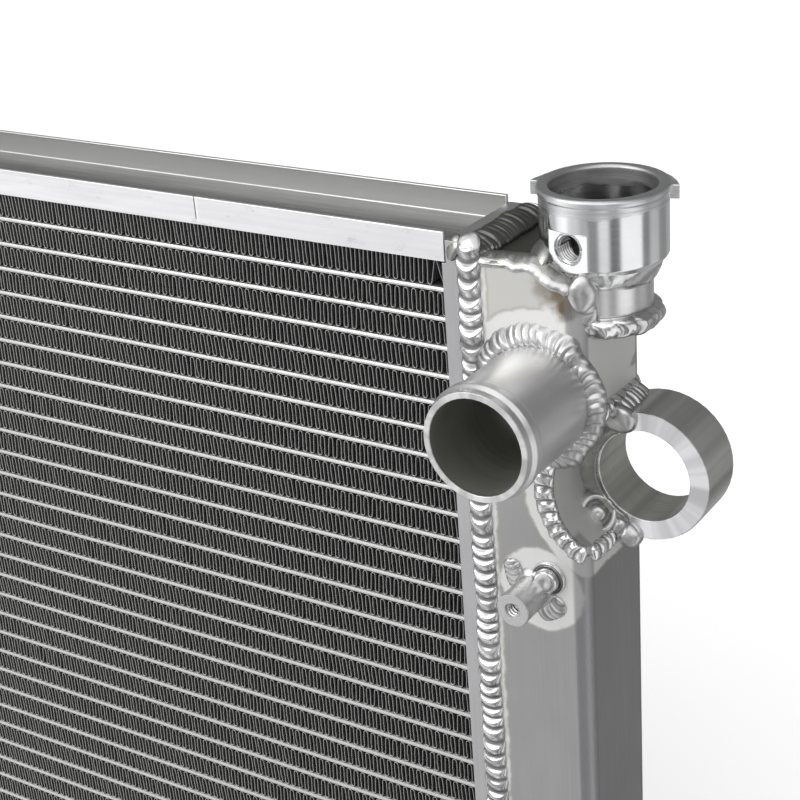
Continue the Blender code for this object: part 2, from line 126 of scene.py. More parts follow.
# Threads, and the filler neck's side port: its mouth and the ends of its half sleeves are
# distances from the neck's axis
BOSS_THREAD = {"radius": 2.65, "pitch": 1.4, "depth": 0.8}
BOSS_THREAD_LENGTH = 9.0
PORT_THREAD = {"radius": 4.3, "pitch": 1.1, "depth": 0.6}
PORT_BEARING = -99.0
PORT_MOUTH = 17.8
PORT_LOWER_END = 12.6
PORT_UPPER_END = 16.9
PORT_Z = 388.8

# Weld beads
BEAD_STEP = 0.4
BEAD_COLUMNS = 14
SEAM_GAP = 1.7
SEAM_PACE = (1.2, 1.17, 1.0, 1.0, 1.0, 1.0, 1.0, 1.0)
BEADS = {
    # wide, tall, pitch, ripple depth, crescent, sink, wander, finish
    "seam": (8.6, 2.5, 4.9, 0.56, 0.42, 0.5, 0.25, "seam"),
    "seam_top": (10.4, 2.3, 2.1, 0.20, 0.42, 2.0, 0.25, "dark_weld"),
    "seam_bottom": (10.4, 2.2, 2.1, 0.20, 0.42, 2.0, 0.25, "dark_weld"),
    "outlet": (9.4, 2.3, 2.9, 0.30, 0.60, 3.4, 0.25, "grey_weld"),
    "saddle_mouth": (6.8, 2.5, 4.2, 0.72, 0.16, 1.0, 0.25, "weld"),
    "saddle_side": (6.4, 2.4, 4.2, 0.46, 0.42, 1.2, 0.25, "weld"),
    "ring_collar": (9.6, 1.3, 9.0, 0.08, 0.10, 1.0, 0.5, "dull_weld"),
    "ring_fillet": (10.5, 2.4, 2.7, 0.42, 0.42, 2.2, 0.25, "grey_weld"),
    "boss_outer": (7.2, 1.25, 2.3, 0.36, 0.70, 0.6, 0.25, "grey_weld"),
    "boss_lower": (7.6, 1.25, 2.3, 0.36, 0.70, 0.6, 0.25, "grey_weld"),
    "boss_fillet": (5.2, 1.2, 5.0, 0.20, 0.42, 0.9, 0.3, "grey_weld"),
    "neck_collar": (8.0, 1.1, 8.5, 0.14, 0.50, 1.6, 1.0, "weld"),
    "neck_foot": (7.0, 3.0, 6.2, 0.26, 0.42, 1.4, 0.25, "weld"),
    "neck_root": (4.4, 1.1, 5.0, 0.20, 0.30, 1.2, 0.4, "dull_weld"),
    "notch": (8.0, 2.6, 6.5, 0.28, 0.42, 2.4, 0.25, "grey_weld"),
    "cap": (5.8, 1.0, 7.0, 0.20, 0.20, 1.2, 0.6, "dull_weld"),
    "cap_edge": (3.4, 0.9, 6.0, 0.20, 0.10, 0.8, 0.75, "grey_weld"),
    "bung": (4.4, 1.5, 3.2, 0.46, 0.42, 1.2, 0.25, "weld"),
}
TACKS = {
    # radius, tall, shape, stretch, finish
    "seam_corner": (4.3, 1.5, "blob", 0.9, "grey_weld"),
    "seam_corner_rail": (3.2, 1.2, "blob", 1.3, "dull_weld"),
    "ring_crater": (7.4, 2.8, "crater", 1.0, "grey_weld"),
    "ring_tack_1": (4.4, 3.4, "blob", 1.0, "grey_weld"),
    "ring_tack_2": (5.6, 3.6, "blob", 1.0, "grey_weld"),
    "ring_tack_3": (3.2, 2.4, "blob", 1.0, "grey_weld"),
    "boss_button": (6.2, 4.0, "button", 1.0, "weld"),
    "notch": (4.8, 3.0, "blob", 1.3, "grey_weld"),
    "neck_puddle": (4.9, 1.5, "blob", 1.3, "dull_weld"),
}
# Welds in front of a mounting ring: angle and distance from its axis
RING_TACKS = ((257.0, 22.8), (112.0, 20.6), (246.0, 21.4))
RING_CRATER = (225.0, 21.9)
OUTLET_BEAD_R = 21.0
SADDLE_BEAD_R = 25.6
NOTCH_TACK_Z = 375.2


# ---- places read from the frame

class Place:
    """The box of a CAD node, in metres."""

    def __init__(self, node):
        self.low, self.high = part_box(node)
        self.middle = (self.low + self.high) / 2.0


TANK = {1: Place("tank_right"), -1: Place("tank_left")}
HEADER = {1: Place("header_plate_right"), -1: Place("header_plate_left")}
RING = {1: Place("mount_ring_right"), -1: Place("mount_ring_left")}
BOSS = {1: Place("threaded_boss_right"), -1: Place("threaded_boss_left")}
OUTLET = {1: Place("upper_hose_outlet"), -1: Place("lower_hose_outlet")}
NECK = Place("filler_neck")
CUP = Place("filler_neck_cup")
TOP_CAP = Place("tank_top_cap_right")
TOP_RAIL = Place("top_rail")
BOTTOM_RAIL = Place("bottom_rail")
BUNG = Place("drain_bung")
FRONT = TANK[1].low.y
BACK = TANK[1].high.y
CORE_BACK = HEADER[1].high.y
RAIL_DEPTH = TOP_RAIL.high.y - FRONT
SIDE_NAME = {1: "right", -1: "left"}
WALLS = (("front", FRONT, -1.0), ("back", BACK, 1.0))


def side_x(side):
    """The outer side face of a tank."""
    return TANK[side].high.x if side > 0 else TANK[side].low.x


def seam_x(side):
    """The middle of the joint between a tank and its header plate."""
    if side > 0:
        return (HEADER[1].high.x + TANK[1].low.x) / 2.0
    return (HEADER[-1].low.x + TANK[-1].high.x) / 2.0


# ---- meshes

def add_object(name, data):
    """Makes an object of a mesh, light or camera and puts it in the scene."""
    item = bpy.data.objects.new(name, data)
    bpy.context.scene.collection.objects.link(item)
    return item


def add_piece(name, mesh, material, smooth=True):
    """Makes a piece that rides on the radiator's body."""
    if smooth:
        mesh.shade_smooth()
    mesh.materials.append(material)
    piece = add_object(name, mesh)
    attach(piece, ROOT_BODY)
    return piece


def mark_groove_shade(mesh, values):
    """Stores how deep in a hollow each point lies, which weld_metal darkens as painted shade."""
    layer = mesh.attributes.new("groove_shade", "FLOAT", "POINT")
    layer.data.foreach_set("value", np.asarray(values, np.float32).ravel())


def quad_mesh(name, points, quads):
    """A mesh from arrays of points and quads, made quickly."""
    mesh = bpy.data.meshes.new(name)
    mesh.vertices.add(len(points))
    mesh.vertices.foreach_set("co", points.astype(np.float32).ravel())
    mesh.loops.add(quads.size)
    mesh.loops.foreach_set("vertex_index", quads.astype(np.int32).ravel())
    mesh.polygons.add(len(quads))
    mesh.polygons.foreach_set("loop_start", np.arange(0, quads.size, 4, dtype=np.int32))
    mesh.update(calc_edges=True)
    mesh.validate()
    return mesh


def grid_quads(rows, columns, wrap_rows=False, wrap_columns=False):
    """Quads over a grid of points that is stored row by row."""
    last_row = rows if wrap_rows else rows - 1
    last_column = columns if wrap_columns else columns - 1
    i, j = np.meshgrid(np.arange(last_row), np.arange(last_column), indexing="ij")
    i2 = (i + 1) % rows
    j2 = (j + 1) % columns
    quads = np.stack([i * columns + j, i * columns + j2, i2 * columns + j2, i2 * columns + j], -1)
    return quads.reshape(-1, 4)


def cap_ends(mesh, rows, columns):
    """Closes the two ends of an open bead or strip."""
    shape = bmesh.new()
    shape.from_mesh(mesh)
    shape.verts.ensure_lookup_table()
    first = [shape.verts[k] for k in range(columns)]
    last = [shape.verts[(rows - 1) * columns + k] for k in range(columns)]
    shape.faces.new(first)
    shape.faces.new(last[::-1])
    bmesh.ops.recalc_face_normals(shape, faces=shape.faces)
    shape.to_mesh(mesh)
    shape.free()


def smooth_noise(length, spacing, seed):
    """One-dimensional smooth noise between -1 and 1, sampled along an array of lengths."""
    rng = np.random.default_rng(seed)
    count = int(length.max() / spacing) + 4
    knots = rng.uniform(-1.0, 1.0, count)
    at = length / spacing
    index = np.floor(at).astype(int)
    part = at - index
    part = part * part * (3.0 - 2.0 * part)
    return knots[index] * (1.0 - part) + knots[index + 1] * part


def resample(path, normals, step):
    """Even points and unit normals along a polyline."""
    path = np.asarray(path, float)
    normals = np.asarray(normals, float)
    gaps = np.linalg.norm(np.diff(path, axis=0), axis=1)
    run = np.concatenate([[0.0], np.cumsum(gaps)])
    count = max(int(run[-1] / step), 8)
    at = np.linspace(0.0, run[-1], count + 1)
    even = np.stack([np.interp(at, run, path[:, k]) for k in range(3)], 1)
    up = np.stack([np.interp(at, run, normals[:, k]) for k in range(3)], 1)
    up /= np.linalg.norm(up, axis=1)[:, None]
    return even, up, at


def weld_bead(name, path, normals, seed, kind, wander_step=None, gap=1.0, swell=(1.0, 1.0),
              pace=(1.0, 1.0)):
    """A ripple-surfaced bead laid along a path, its underside sunk into the sheet.

    Each ripple is a crescent: its crest lags behind at the bead's edges. swell scales the
    width along the path, and pace the pitch. A gap above 1 widens the valleys, and wander is
    how far the bead strays sideways. A path that ends where it starts gives a closed ring.
    """
    wide, tall, pitch, ripple, crescent, sink, wander, finish = BEADS[kind]
    closed = math.dist(path[0], path[-1]) < 0.001 * MM
    points, up, run = resample(path, normals, BEAD_STEP * MM)
    swell = np.interp(run, np.linspace(0.0, run[-1], len(swell)), swell)
    pace = np.interp(run, np.linspace(0.0, run[-1], len(pace)), pace)
    if closed:
        points, up, run, swell, pace = points[:-1], up[:-1], run[:-1], swell[:-1], pace[:-1]
        ahead = np.roll(points, -1, 0) - np.roll(points, 1, 0)
    else:
        ahead = np.gradient(points, axis=0)
    ahead /= np.linalg.norm(ahead, axis=1)[:, None]
    across = np.cross(ahead, up)
    across /= np.linalg.norm(across, axis=1)[:, None]
    up = np.cross(across, ahead)
    length = run / MM
    beat = np.cumsum(np.diff(length, prepend=0.0) / (pitch * pace))
    beat += 0.34 * smooth_noise(length, pitch * 1.9, seed)
    width = wide * swell * (1.0 + 0.07 * smooth_noise(length, pitch * 1.3, seed + 1))
    height = tall * (1.0 + 0.24 * smooth_noise(length, pitch * 1.1, seed + 2))
    shift = wander * smooth_noise(length, wander_step or pitch * 3.0, seed + 3)
    if not closed:
        to_end = np.minimum(length, length[-1] - length)
        inward = np.clip(to_end / (wide * 0.5), 0.0, 1.0)
        round_end = np.sqrt(np.clip(1.0 - (1.0 - inward) ** 2, 0.0, 1.0))
        width = width * (0.12 + 0.88 * round_end)
        height = height * round_end
    v = np.sin(np.linspace(-0.5 * math.pi, 0.5 * math.pi, BEAD_COLUMNS))
    phase = beat[:, None] + crescent * (v[None, :] ** 2)
    part = phase - np.floor(phase)
    main = np.clip(np.sin(math.pi * part ** 0.62), 0.0, 1.0) ** gap
    fine = 0.5 + 0.5 * np.sin(2.0 * math.pi * (3.0 * phase + 0.2))
    crest = np.sqrt(np.clip(1.0 - v ** 2, 0.0, 1.0))[None, :] ** 0.8
    lift = height[:, None] * crest * (1.0 - ripple + ripple * main + 0.05 * fine)
    edge = width[:, None] * (1.0 + 0.05 * (main - 0.6)) * 0.5 * v[None, :] + shift[:, None]
    surface = (points[:, None, :] + across[:, None, :] * (edge * MM)[:, :, None]
               + up[:, None, :] * ((lift - 0.12) * MM)[:, :, None])
    floor_edge = width[:, None] * 0.46 * np.array([[1.0, -1.0]]) + shift[:, None]
    floor_points = (points[:, None, :] + across[:, None, :] * (floor_edge * MM)[:, :, None]
                    - up[:, None, :] * (sink * MM))
    sections = np.concatenate([surface, floor_points], 1)
    rows, columns = sections.shape[:2]
    quads = grid_quads(rows, columns, wrap_rows=closed, wrap_columns=True)
    mesh = quad_mesh(name, sections.reshape(-1, 3), quads)
    if not closed:
        cap_ends(mesh, rows, columns)
    # The valleys between the ripples are marked for painted shade.
    groove_shade = np.zeros((rows, columns))
    groove_shade[:, :BEAD_COLUMNS] = (1.0 - main) * min(1.0, ripple / 0.4)
    mark_groove_shade(mesh, groove_shade)
    return add_piece(name, mesh, FINISH[finish])


def tack_profile(shape, r):
    """Height of a tack at a share r of its radius."""
    if shape == "crater":
        button = 0.72 / (1.0 + math.exp((r - 0.38) * 26.0))
        return 0.85 * math.exp(-((r - 0.74) / 0.2) ** 2) + button
    if shape == "button":
        plateau = 1.0 / (1.0 + math.exp((r - 0.70) * 32.0))
        return 0.92 * plateau * (1.0 - 0.14 * math.exp(-(r / 0.3) ** 2)) + 0.34 * math.exp(
            -((r - 0.9) / 0.07) ** 2)
    return math.sqrt(max(1.0 - r ** 2.4, 0.0))


def weld_tack(name, at, normal, seed, kind):
    """A single tack: a smooth blob, a crater with a raised rim, or a flat-topped button."""
    radius, tall, shape, stretch, finish = TACKS[kind]
    rings = 18
    spokes = 40
    basis = Vector(normal).normalized().to_track_quat("Z", "Y").to_matrix()
    rng = np.random.default_rng(seed)
    button = shape == "button"
    dented = 0.015 if button else 0.05
    lumpy = 0.0 if button else 0.03
    grooves = {"button": (0.70, 0.90), "crater": (0.40, 0.62)}.get(shape, (1.0, 1.0))
    waves = [(k, rng.uniform(0.0, dented), rng.uniform(0.0, 6.28)) for k in (2, 3, 4)]
    lumps = [(rng.uniform(-5.0, 5.0), rng.uniform(-5.0, 5.0), rng.uniform(0.0, 6.28))
             for _ in range(5)]
    vertices = [Vector(at) + basis @ Vector((0.0, 0.0, tall * tack_profile(shape, 0.0) * MM))]
    dip_shade = [0.0]
    for ring in range(1, rings + 1):
        r = ring / rings
        bump = tack_profile(shape, r)
        for spoke in range(spokes):
            angle = 2.0 * math.pi * spoke / spokes
            out = r * radius * (1.0 + sum(a * math.cos(k * angle + p) for k, a, p in waves))
            x = out * math.cos(angle)
            y = out * math.sin(angle) * stretch
            u = r * math.cos(angle)
            v = r * math.sin(angle)
            rough = sum(math.sin(a * u + b * v + p) for a, b, p in lumps) * lumpy * (1.0 - r * r)
            z = tall * (bump + rough) - (0.6 if ring == rings else 0.0)
            vertices.append(Vector(at) + basis @ Vector((x * MM, y * MM, z * MM)))
            # The dip between the middle and the rim is marked for painted shade.
            dip_shade.append(1.0 if grooves[0] < r < grooves[1] else 0.0)
    faces = [(0, 1 + spoke, 1 + (spoke + 1) % spokes) for spoke in range(spokes)]
    quads = grid_quads(rings, spokes, wrap_columns=True)[:, [0, 3, 2, 1]]
    faces.extend((1 + quads).tolist())
    faces.append(tuple(1 + (rings - 1) * spokes + s for s in reversed(range(spokes))))
    mesh = bpy.data.meshes.new(name)
    mesh.from_pydata([tuple(v) for v in vertices], [], faces)
    mesh.update()
    mark_groove_shade(mesh, dip_shade)
    return add_piece(name, mesh, FINISH[finish])


def thread_sleeve(name, at, axis, length, radius, pitch, depth, slot="turned_fitting",
                  arc=(0.0, 360.0)):
    """A thin sleeve, or part of one, whose inside carries a helical thread.

    It starts at the hole's mouth. The arc is in degrees, and 90 is its upper side.
    """
    whole = arc[1] - arc[0] >= 360.0
    spokes = 48 if whole else 25
    steps = int(length / pitch * 10)
    z = np.linspace(0.0, length, steps + 1)
    angle = np.radians(np.linspace(arc[0], arc[1], spokes, endpoint=not whole))
    phase = z[None, :] / pitch - angle[:, None] / (2.0 * math.pi)
    part = phase - np.floor(phase)
    ridge = 1.0 - np.abs(2.0 * part - 1.0)
    outside = np.full((spokes, 1), radius + 0.05)
    radii = np.concatenate([outside, radius - 0.02 - depth * ridge, outside], 1)
    heights = np.broadcast_to(np.concatenate([[0.0], z, [length]]), radii.shape)
    local = np.stack([radii * np.cos(angle)[:, None], radii * np.sin(angle)[:, None], heights], -1)
    basis = np.array(Vector(axis).normalized().to_track_quat("Z", "Y").to_matrix())
    points = np.asarray(at) + (local * MM) @ basis.T
    columns = points.shape[1]
    quads = grid_quads(spokes, columns, wrap_rows=whole, wrap_columns=True)[:, ::-1]
    mesh = quad_mesh(name, points.reshape(-1, 3), quads)
    if not whole:
        cap_ends(mesh, spokes, columns)
    # The thread's hollows are marked for painted shade.
    thread_groove_shade = np.zeros(radii.shape)
    thread_groove_shade[:, 1:-1] = 1.0 - ridge
    mark_groove_shade(mesh, thread_groove_shade)
    return add_piece(name, mesh, FINISH["thread"])


# ---- materials

def grey(level):
    return (level, level, level)


def toned(color, share):
    """A colour made darker or lighter."""
    return tuple(min(c * share, 1.0) for c in color)


class NodeKit:
    """Shorthand for building a shader's node tree."""

    def __init__(self, tree):
        self.tree = tree

    def add(self, kind, inputs=None, **settings):
        """A node with its settings, and with values or links for its named inputs."""
        node = self.tree.nodes.new(kind)
        for key, value in settings.items():
            setattr(node, key, value)
        return self.put(node, inputs or {})

    def put(self, node, inputs):
        for key, value in inputs.items():
            self.feed(node.inputs[key], value)
        return node

    def feed(self, socket, value):
        if isinstance(value, bpy.types.NodeSocket):
            self.tree.links.new(value, socket)
        elif isinstance(value, (tuple, list)) and socket.type == "RGBA":
            socket.default_value = (*value, 1.0)
        else:
            socket.default_value = value

    def math(self, operation, *values, clamp=False):
        node = self.add("ShaderNodeMath", operation=operation, use_clamp=clamp)
        for socket, value in zip(node.inputs, values):
            self.feed(socket, value)
        return node.outputs[0]

    def plus(self, *values):
        return self.math("ADD", *values)

    def minus(self, *values):
        return self.math("SUBTRACT", *values)

    def times(self, *values, clamp=False):
        return self.math("MULTIPLY", *values, clamp=clamp)

    def span(self, value, low, high, to_low=0.0, to_high=1.0, kind="LINEAR"):
        """Maps a value from one range to another, held at its ends."""
        inputs = {"Value": value, "From Min": low, "From Max": high, "To Min": to_low,
                  "To Max": to_high}
        return self.add("ShaderNodeMapRange", inputs, interpolation_type=kind).outputs[0]

    def ease(self, *values):
        """Like span, with a soft start and end."""
        return self.span(*values, kind="SMOOTHSTEP")

    def mix(self, factor, first, second):
        node = self.add("ShaderNodeMix", {"Factor": factor}, data_type="RGBA")
        return self.put(node, {6: first, 7: second}).outputs[2]


class Finish(NodeKit):
    """A node material under construction, reading the object's own coordinates."""

    def __init__(self, name, color, roughness, metallic=1.0):
        self.material = bpy.data.materials.new(name)
        self.material.use_nodes = True
        super().__init__(self.material.node_tree)
        self.shader = self.tree.nodes["Principled BSDF"]
        self.put(self.shader, {"Metallic": metallic, "Base Color": color,
                               "Roughness": roughness})
        self.coords = self.add("ShaderNodeTexCoord").outputs["Object"]

    def axis(self, letter):
        return self.add("ShaderNodeSeparateXYZ", {0: self.coords}).outputs[letter]

    def noise(self, scale, detail=3.0, roughness=0.55, offset=(0.0, 0.0, 0.0)):
        """Noise whose cells per metre are given once, or for each axis."""
        cells = scale if isinstance(scale, (tuple, list)) else (scale, scale, scale)
        stretch = self.add("ShaderNodeMapping", {"Scale": cells, "Location": offset,
                                                 "Vector": self.coords})
        inputs = {"Scale": 1.0, "Detail": detail, "Roughness": roughness,
                  "Vector": stretch.outputs[0]}
        return self.add("ShaderNodeTexNoise", inputs).outputs[0]

    def bump(self, height, distance, strength=1.0, normal=None):
        inputs = {"Distance": distance, "Strength": strength, "Height": height}
        if normal is not None:
            inputs["Normal"] = normal
        return self.add("ShaderNodeBump", inputs).outputs[0]

    def distance(self, center, axes):
        """Distance from a point, measured along the named axes only."""
        total = None
        for letter, value in zip("XYZ", center):
            if letter not in axes:
                continue
            gap = self.minus(self.axis(letter), value)
            square = self.times(gap, gap)
            total = square if total is None else self.plus(total, square)
        return self.math("SQRT", total)

    def done(self, color, roughness=None, normal=None, anisotropic=0.0, tangent=None):
        """Connects the finished channels and gives back the material."""
        inputs = {"Base Color": color, "Roughness": roughness, "Normal": normal}
        if anisotropic:
            ring = self.add("ShaderNodeTangent", direction_type="RADIAL", axis=tangent)
            inputs.update({"Anisotropic": anisotropic, "Anisotropic Rotation": 0.25,
                           "Tangent": ring.outputs[0]})
        self.put(self.shader, {key: value for key, value in inputs.items() if value is not None})
        return self.material


def brushed_sheet(name, base, halos, grain=(1500.0, 1500.0, 14.0), rough=(0.30, 0.44),
                  stains=(), pale=None, bend=None):
    """Brushed sheet, with a chalky heat mark around each welded fitting.

    pale gives a height span over which the sheet turns whiter, and bend the side face's X
    where the sheet is folded, which leaves a dull orange-peel texture.
    """
    g = Finish(name, base, 0.36)
    streaks = g.noise(grain, 4.0, 0.6)
    cloud = g.noise((38.0, 38.0, 24.0), 3.0)
    ragged = g.times(g.minus(g.noise(160.0, 3.0), 0.5), 3.4 * MM)
    mark = None
    rim = None
    for center, radius, axes in halos:
        away = g.plus(g.distance(center, axes), ragged)
        inside = g.ease(away, (radius - 1.0) * MM, (radius + 0.4) * MM, 1.0, 0.0)
        near = g.math("ABSOLUTE", g.minus(away, radius * MM))
        line = g.ease(near, 0.0, 1.1 * MM, 1.0, 0.0)
        mark = inside if mark is None else g.math("MAXIMUM", mark, inside)
        rim = line if rim is None else g.math("MAXIMUM", rim, line)
    tone = g.mix(g.span(cloud, 0.3, 0.7), toned(base, 0.93), toned(base, 1.06))
    tone = g.mix(g.span(streaks, 0.25, 0.75, 0.0, 0.35), tone, toned(base, 0.8))
    roughness = g.span(streaks, 0.2, 0.8, *rough)
    if pale is not None:
        rise = g.ease(g.axis("Z"), pale[0], pale[1], 0.0, 0.85)
        tone = g.mix(rise, tone, (0.76, 0.755, 0.72))
    if mark is not None:
        rim = g.times(rim, g.minus(1.0, mark), clamp=True)
        tone = g.mix(g.times(rim, 0.5), tone, (0.46, 0.42, 0.35))
        tone = g.mix(g.times(mark, 0.85), tone, (0.92, 0.92, 0.91))
        roughness = g.plus(roughness, g.times(mark, 0.2))
    for center, radius, strength in stains:
        away = g.plus(g.distance(center, "XZ"), g.times(ragged, 2.4))
        spot = g.ease(away, 0.15 * radius * MM, radius * MM, strength, 0.0)
        tone = g.mix(spot, tone, (0.20, 0.16, 0.11))
    normal = g.bump(streaks, 0.00006, 0.5)
    if bend is not None:
        out = g.minus(abs(bend), g.math("ABSOLUTE", g.axis("X")))
        folded = g.ease(out, 4.2 * MM, 5.8 * MM, 1.0, 0.0)
        shallow = g.ease(g.axis("Y"), FRONT + 4.2 * MM, FRONT + 5.8 * MM, 1.0, 0.0)
        deep = g.ease(g.axis("Y"), BACK - 5.8 * MM, BACK - 4.2 * MM, 0.0, 1.0)
        folded = g.times(folded, g.math("MAXIMUM", shallow, deep))
        peel = g.noise((1100.0, 1100.0, 700.0), 2.0)
        tone = g.mix(g.times(folded, 0.6), tone, (0.30, 0.295, 0.31))
        roughness = g.plus(roughness, g.times(folded, 0.12))
        peel = g.times(peel, folded)
        normal = g.bump(peel, 0.0002, 0.6, normal)
    return g.done(tone, roughness, normal)


def weld_metal(name, bright, plain, extra_rough):
    """Cast-looking weld metal, rougher in its troughs, which carry painted shade."""
    g = Finish(name, bright, 0.2)
    layer = g.add("ShaderNodeAttribute", attribute_name="groove_shade").outputs["Fac"]
    grit = g.noise(900.0, 4.0, 0.65)
    patch = g.noise(110.0, 2.0)
    # Painted shade: the marked troughs are darkened, and made rougher.
    dull = g.times(g.ease(layer, 0.3, 0.95), 0.75)
    tone = g.mix(g.span(patch, 0.35, 0.65), bright, plain)
    tone = g.mix(dull, tone, toned(bright, 0.2))
    roughness = g.plus(g.span(grit, 0.3, 0.75, 0.09, 0.24), g.times(dull, 0.25))
    roughness = g.plus(roughness, extra_rough)
    normal = g.bump(grit, 0.00007, 0.35)
    normal = g.bump(g.noise(320.0, 2.0), 0.00022, 0.35, normal)
    return g.done(tone, roughness, normal)


def turned_metal(name, base, rough, axis, center, line_scale, anisotropic, bore=None,
                 shaded_bore_tone=None, bore_rough=0.12, face=None, band=None, shaded_rim_height=None,
                 streaks=False):
    """Lathe-turned metal: fine rings about the axis, a rougher bore darkened as painted shade, and
    a faced end.

    Above the height called band it is scuffed, and above the rim height its top is painted shade.
    face gives the end's Y and its tone, partly a painted reflection, crossed by painted wedges of
    light and dark; streaks lays these painted wedges over the outside as light and dark bands.
    """
    g = Finish(name, base, rough[0])
    scale = [30.0, 30.0, 30.0]
    scale["XYZ".index(axis)] = line_scale
    rings = g.noise(scale, 3.0, 0.6)
    cloud = g.noise(60.0, 3.0)
    tone = g.mix(g.span(cloud, 0.3, 0.7), toned(base, 0.9), base)
    roughness = g.span(rings, 0.25, 0.75, *rough)
    if bore is not None:
        axes = "XYZ".replace(axis, "")
        away = g.distance(center, axes)
        inner = g.span(away, (bore + 0.05) * MM, (bore + 0.35) * MM, 1.0, 0.0)
        # Painted shade: the bore takes a darker tone; the rings add its scratches.
        scratched_and_shaded_bore = g.mix(g.span(rings, 0.35, 0.65), toned(shaded_bore_tone, 0.88),
                          toned(shaded_bore_tone, 1.1))
        tone = g.mix(inner, tone, scratched_and_shaded_bore)
        roughness = g.plus(roughness, g.times(inner, bore_rough))
    if band is not None:
        ragged = g.times(g.minus(g.noise((90.0, 90.0, 500.0), 4.0), 0.5), 6.0 * MM)
        height = g.plus(g.axis("Z"), ragged)
        scuffed = g.span(height, band - 0.6 * MM, band + 0.8 * MM, 0.0, 1.0)
        scores = g.noise((45.0, 45.0, 2600.0), 4.0, 0.7)
        worn = g.span(scores, 0.35, 0.7, 0.14, 0.34)
        roughness = g.plus(roughness, g.times(scuffed, worn))
        scored = g.times(g.span(scores, 0.45, 0.7, 0.0, 0.75), scuffed)
        tone = g.mix(scored, tone, toned(base, 0.5))
    if shaded_rim_height is not None:
        # Painted shade: the rim's top is darkened.
        rim_painted_shade = g.span(g.axis("Z"), shaded_rim_height, shaded_rim_height + 0.3 * MM, 0.0, 0.8)
        tone = g.mix(rim_painted_shade, tone, toned(base, 0.6))
    if face is not None:
        place, face_tone_and_sheen = face
        front = g.span(g.axis("Y"), place + 0.1 * MM, place + 0.4 * MM, 1.0, 0.0)
        side = g.minus(g.axis("X"), center[0])
        rise = g.minus(g.axis("Z"), center[2])
        turn = g.math("ARCTAN2", rise, side)
        wheel = g.add("ShaderNodeTexNoise", {"W": turn, "Scale": 2.3, "Detail": 2.0},
                      noise_dimensions="1D").outputs[0]
        # Painted reflection: wedges of light and dark round the end face, whose tone is partly
        # painted reflection too.
        painted_sheen = g.span(wheel, 0.38, 0.62)
        painted_wedges = g.mix(painted_sheen, toned(face_tone_and_sheen, 0.66), face_tone_and_sheen)
        # Painted reflection: the wedges laid over the outside as light and dark bands.
        if streaks:
            tone = g.mix(g.span(wheel, 0.35, 0.60), toned(base, 0.55), tone)
        tone = g.mix(front, tone, painted_wedges)
    normal = g.bump(rings, 0.00003, 0.4)
    return g.done(tone, roughness, normal, anisotropic, axis)


def fin_metal():
    """Thin, rough foil, painted nearly black along its depth as shade, with a painted highlight on
    its cut front and back edges.
    """
    g = Finish("fin_metal", grey(0.3), 0.5)
    y = g.axis("Y")
    # Painted highlight: masks for the cut front and back edges.
    front = g.span(y, FRONT + (FIN_FRONT + 0.02) * MM, FRONT + (FIN_FRONT + 0.3) * MM, 1.0, 0.0)
    back = g.span(y, FRONT + (FIN_BACK - 0.5) * MM, FRONT + (FIN_BACK - 0.02) * MM, 0.0, 1.0)
    edge = g.math("MAXIMUM", front, back)
    spots = g.noise(500.0, 3.0)
    # Painted shade: the foil between the tubes is nearly black, with random spots.
    dark = g.mix(g.span(spots, 0.3, 0.7), (0.035, 0.035, 0.037), (0.07, 0.07, 0.072))
    tone = g.mix(edge, dark, (0.50, 0.50, 0.49))
    louvres = g.math("SINE", g.times(y, 2.0 * math.pi / (1.2 * MM)))
    normal = g.bump(louvres, 0.0001, 0.5)
    roughness = g.span(spots, 0.3, 0.7, 0.38, 0.6)
    return g.done(tone, roughness, normal)


def tube_metal():
    g = Finish("tube_metal", (0.86, 0.87, 0.88), 0.34)
    grit = g.noise(420.0, 4.0, 0.7)
    tone = g.mix(g.span(grit, 0.3, 0.75), grey(0.74), (0.55, 0.55, 0.54))
    return g.done(tone, g.span(grit, 0.3, 0.7, 0.3, 0.5), g.bump(grit, 0.00012, 0.4))


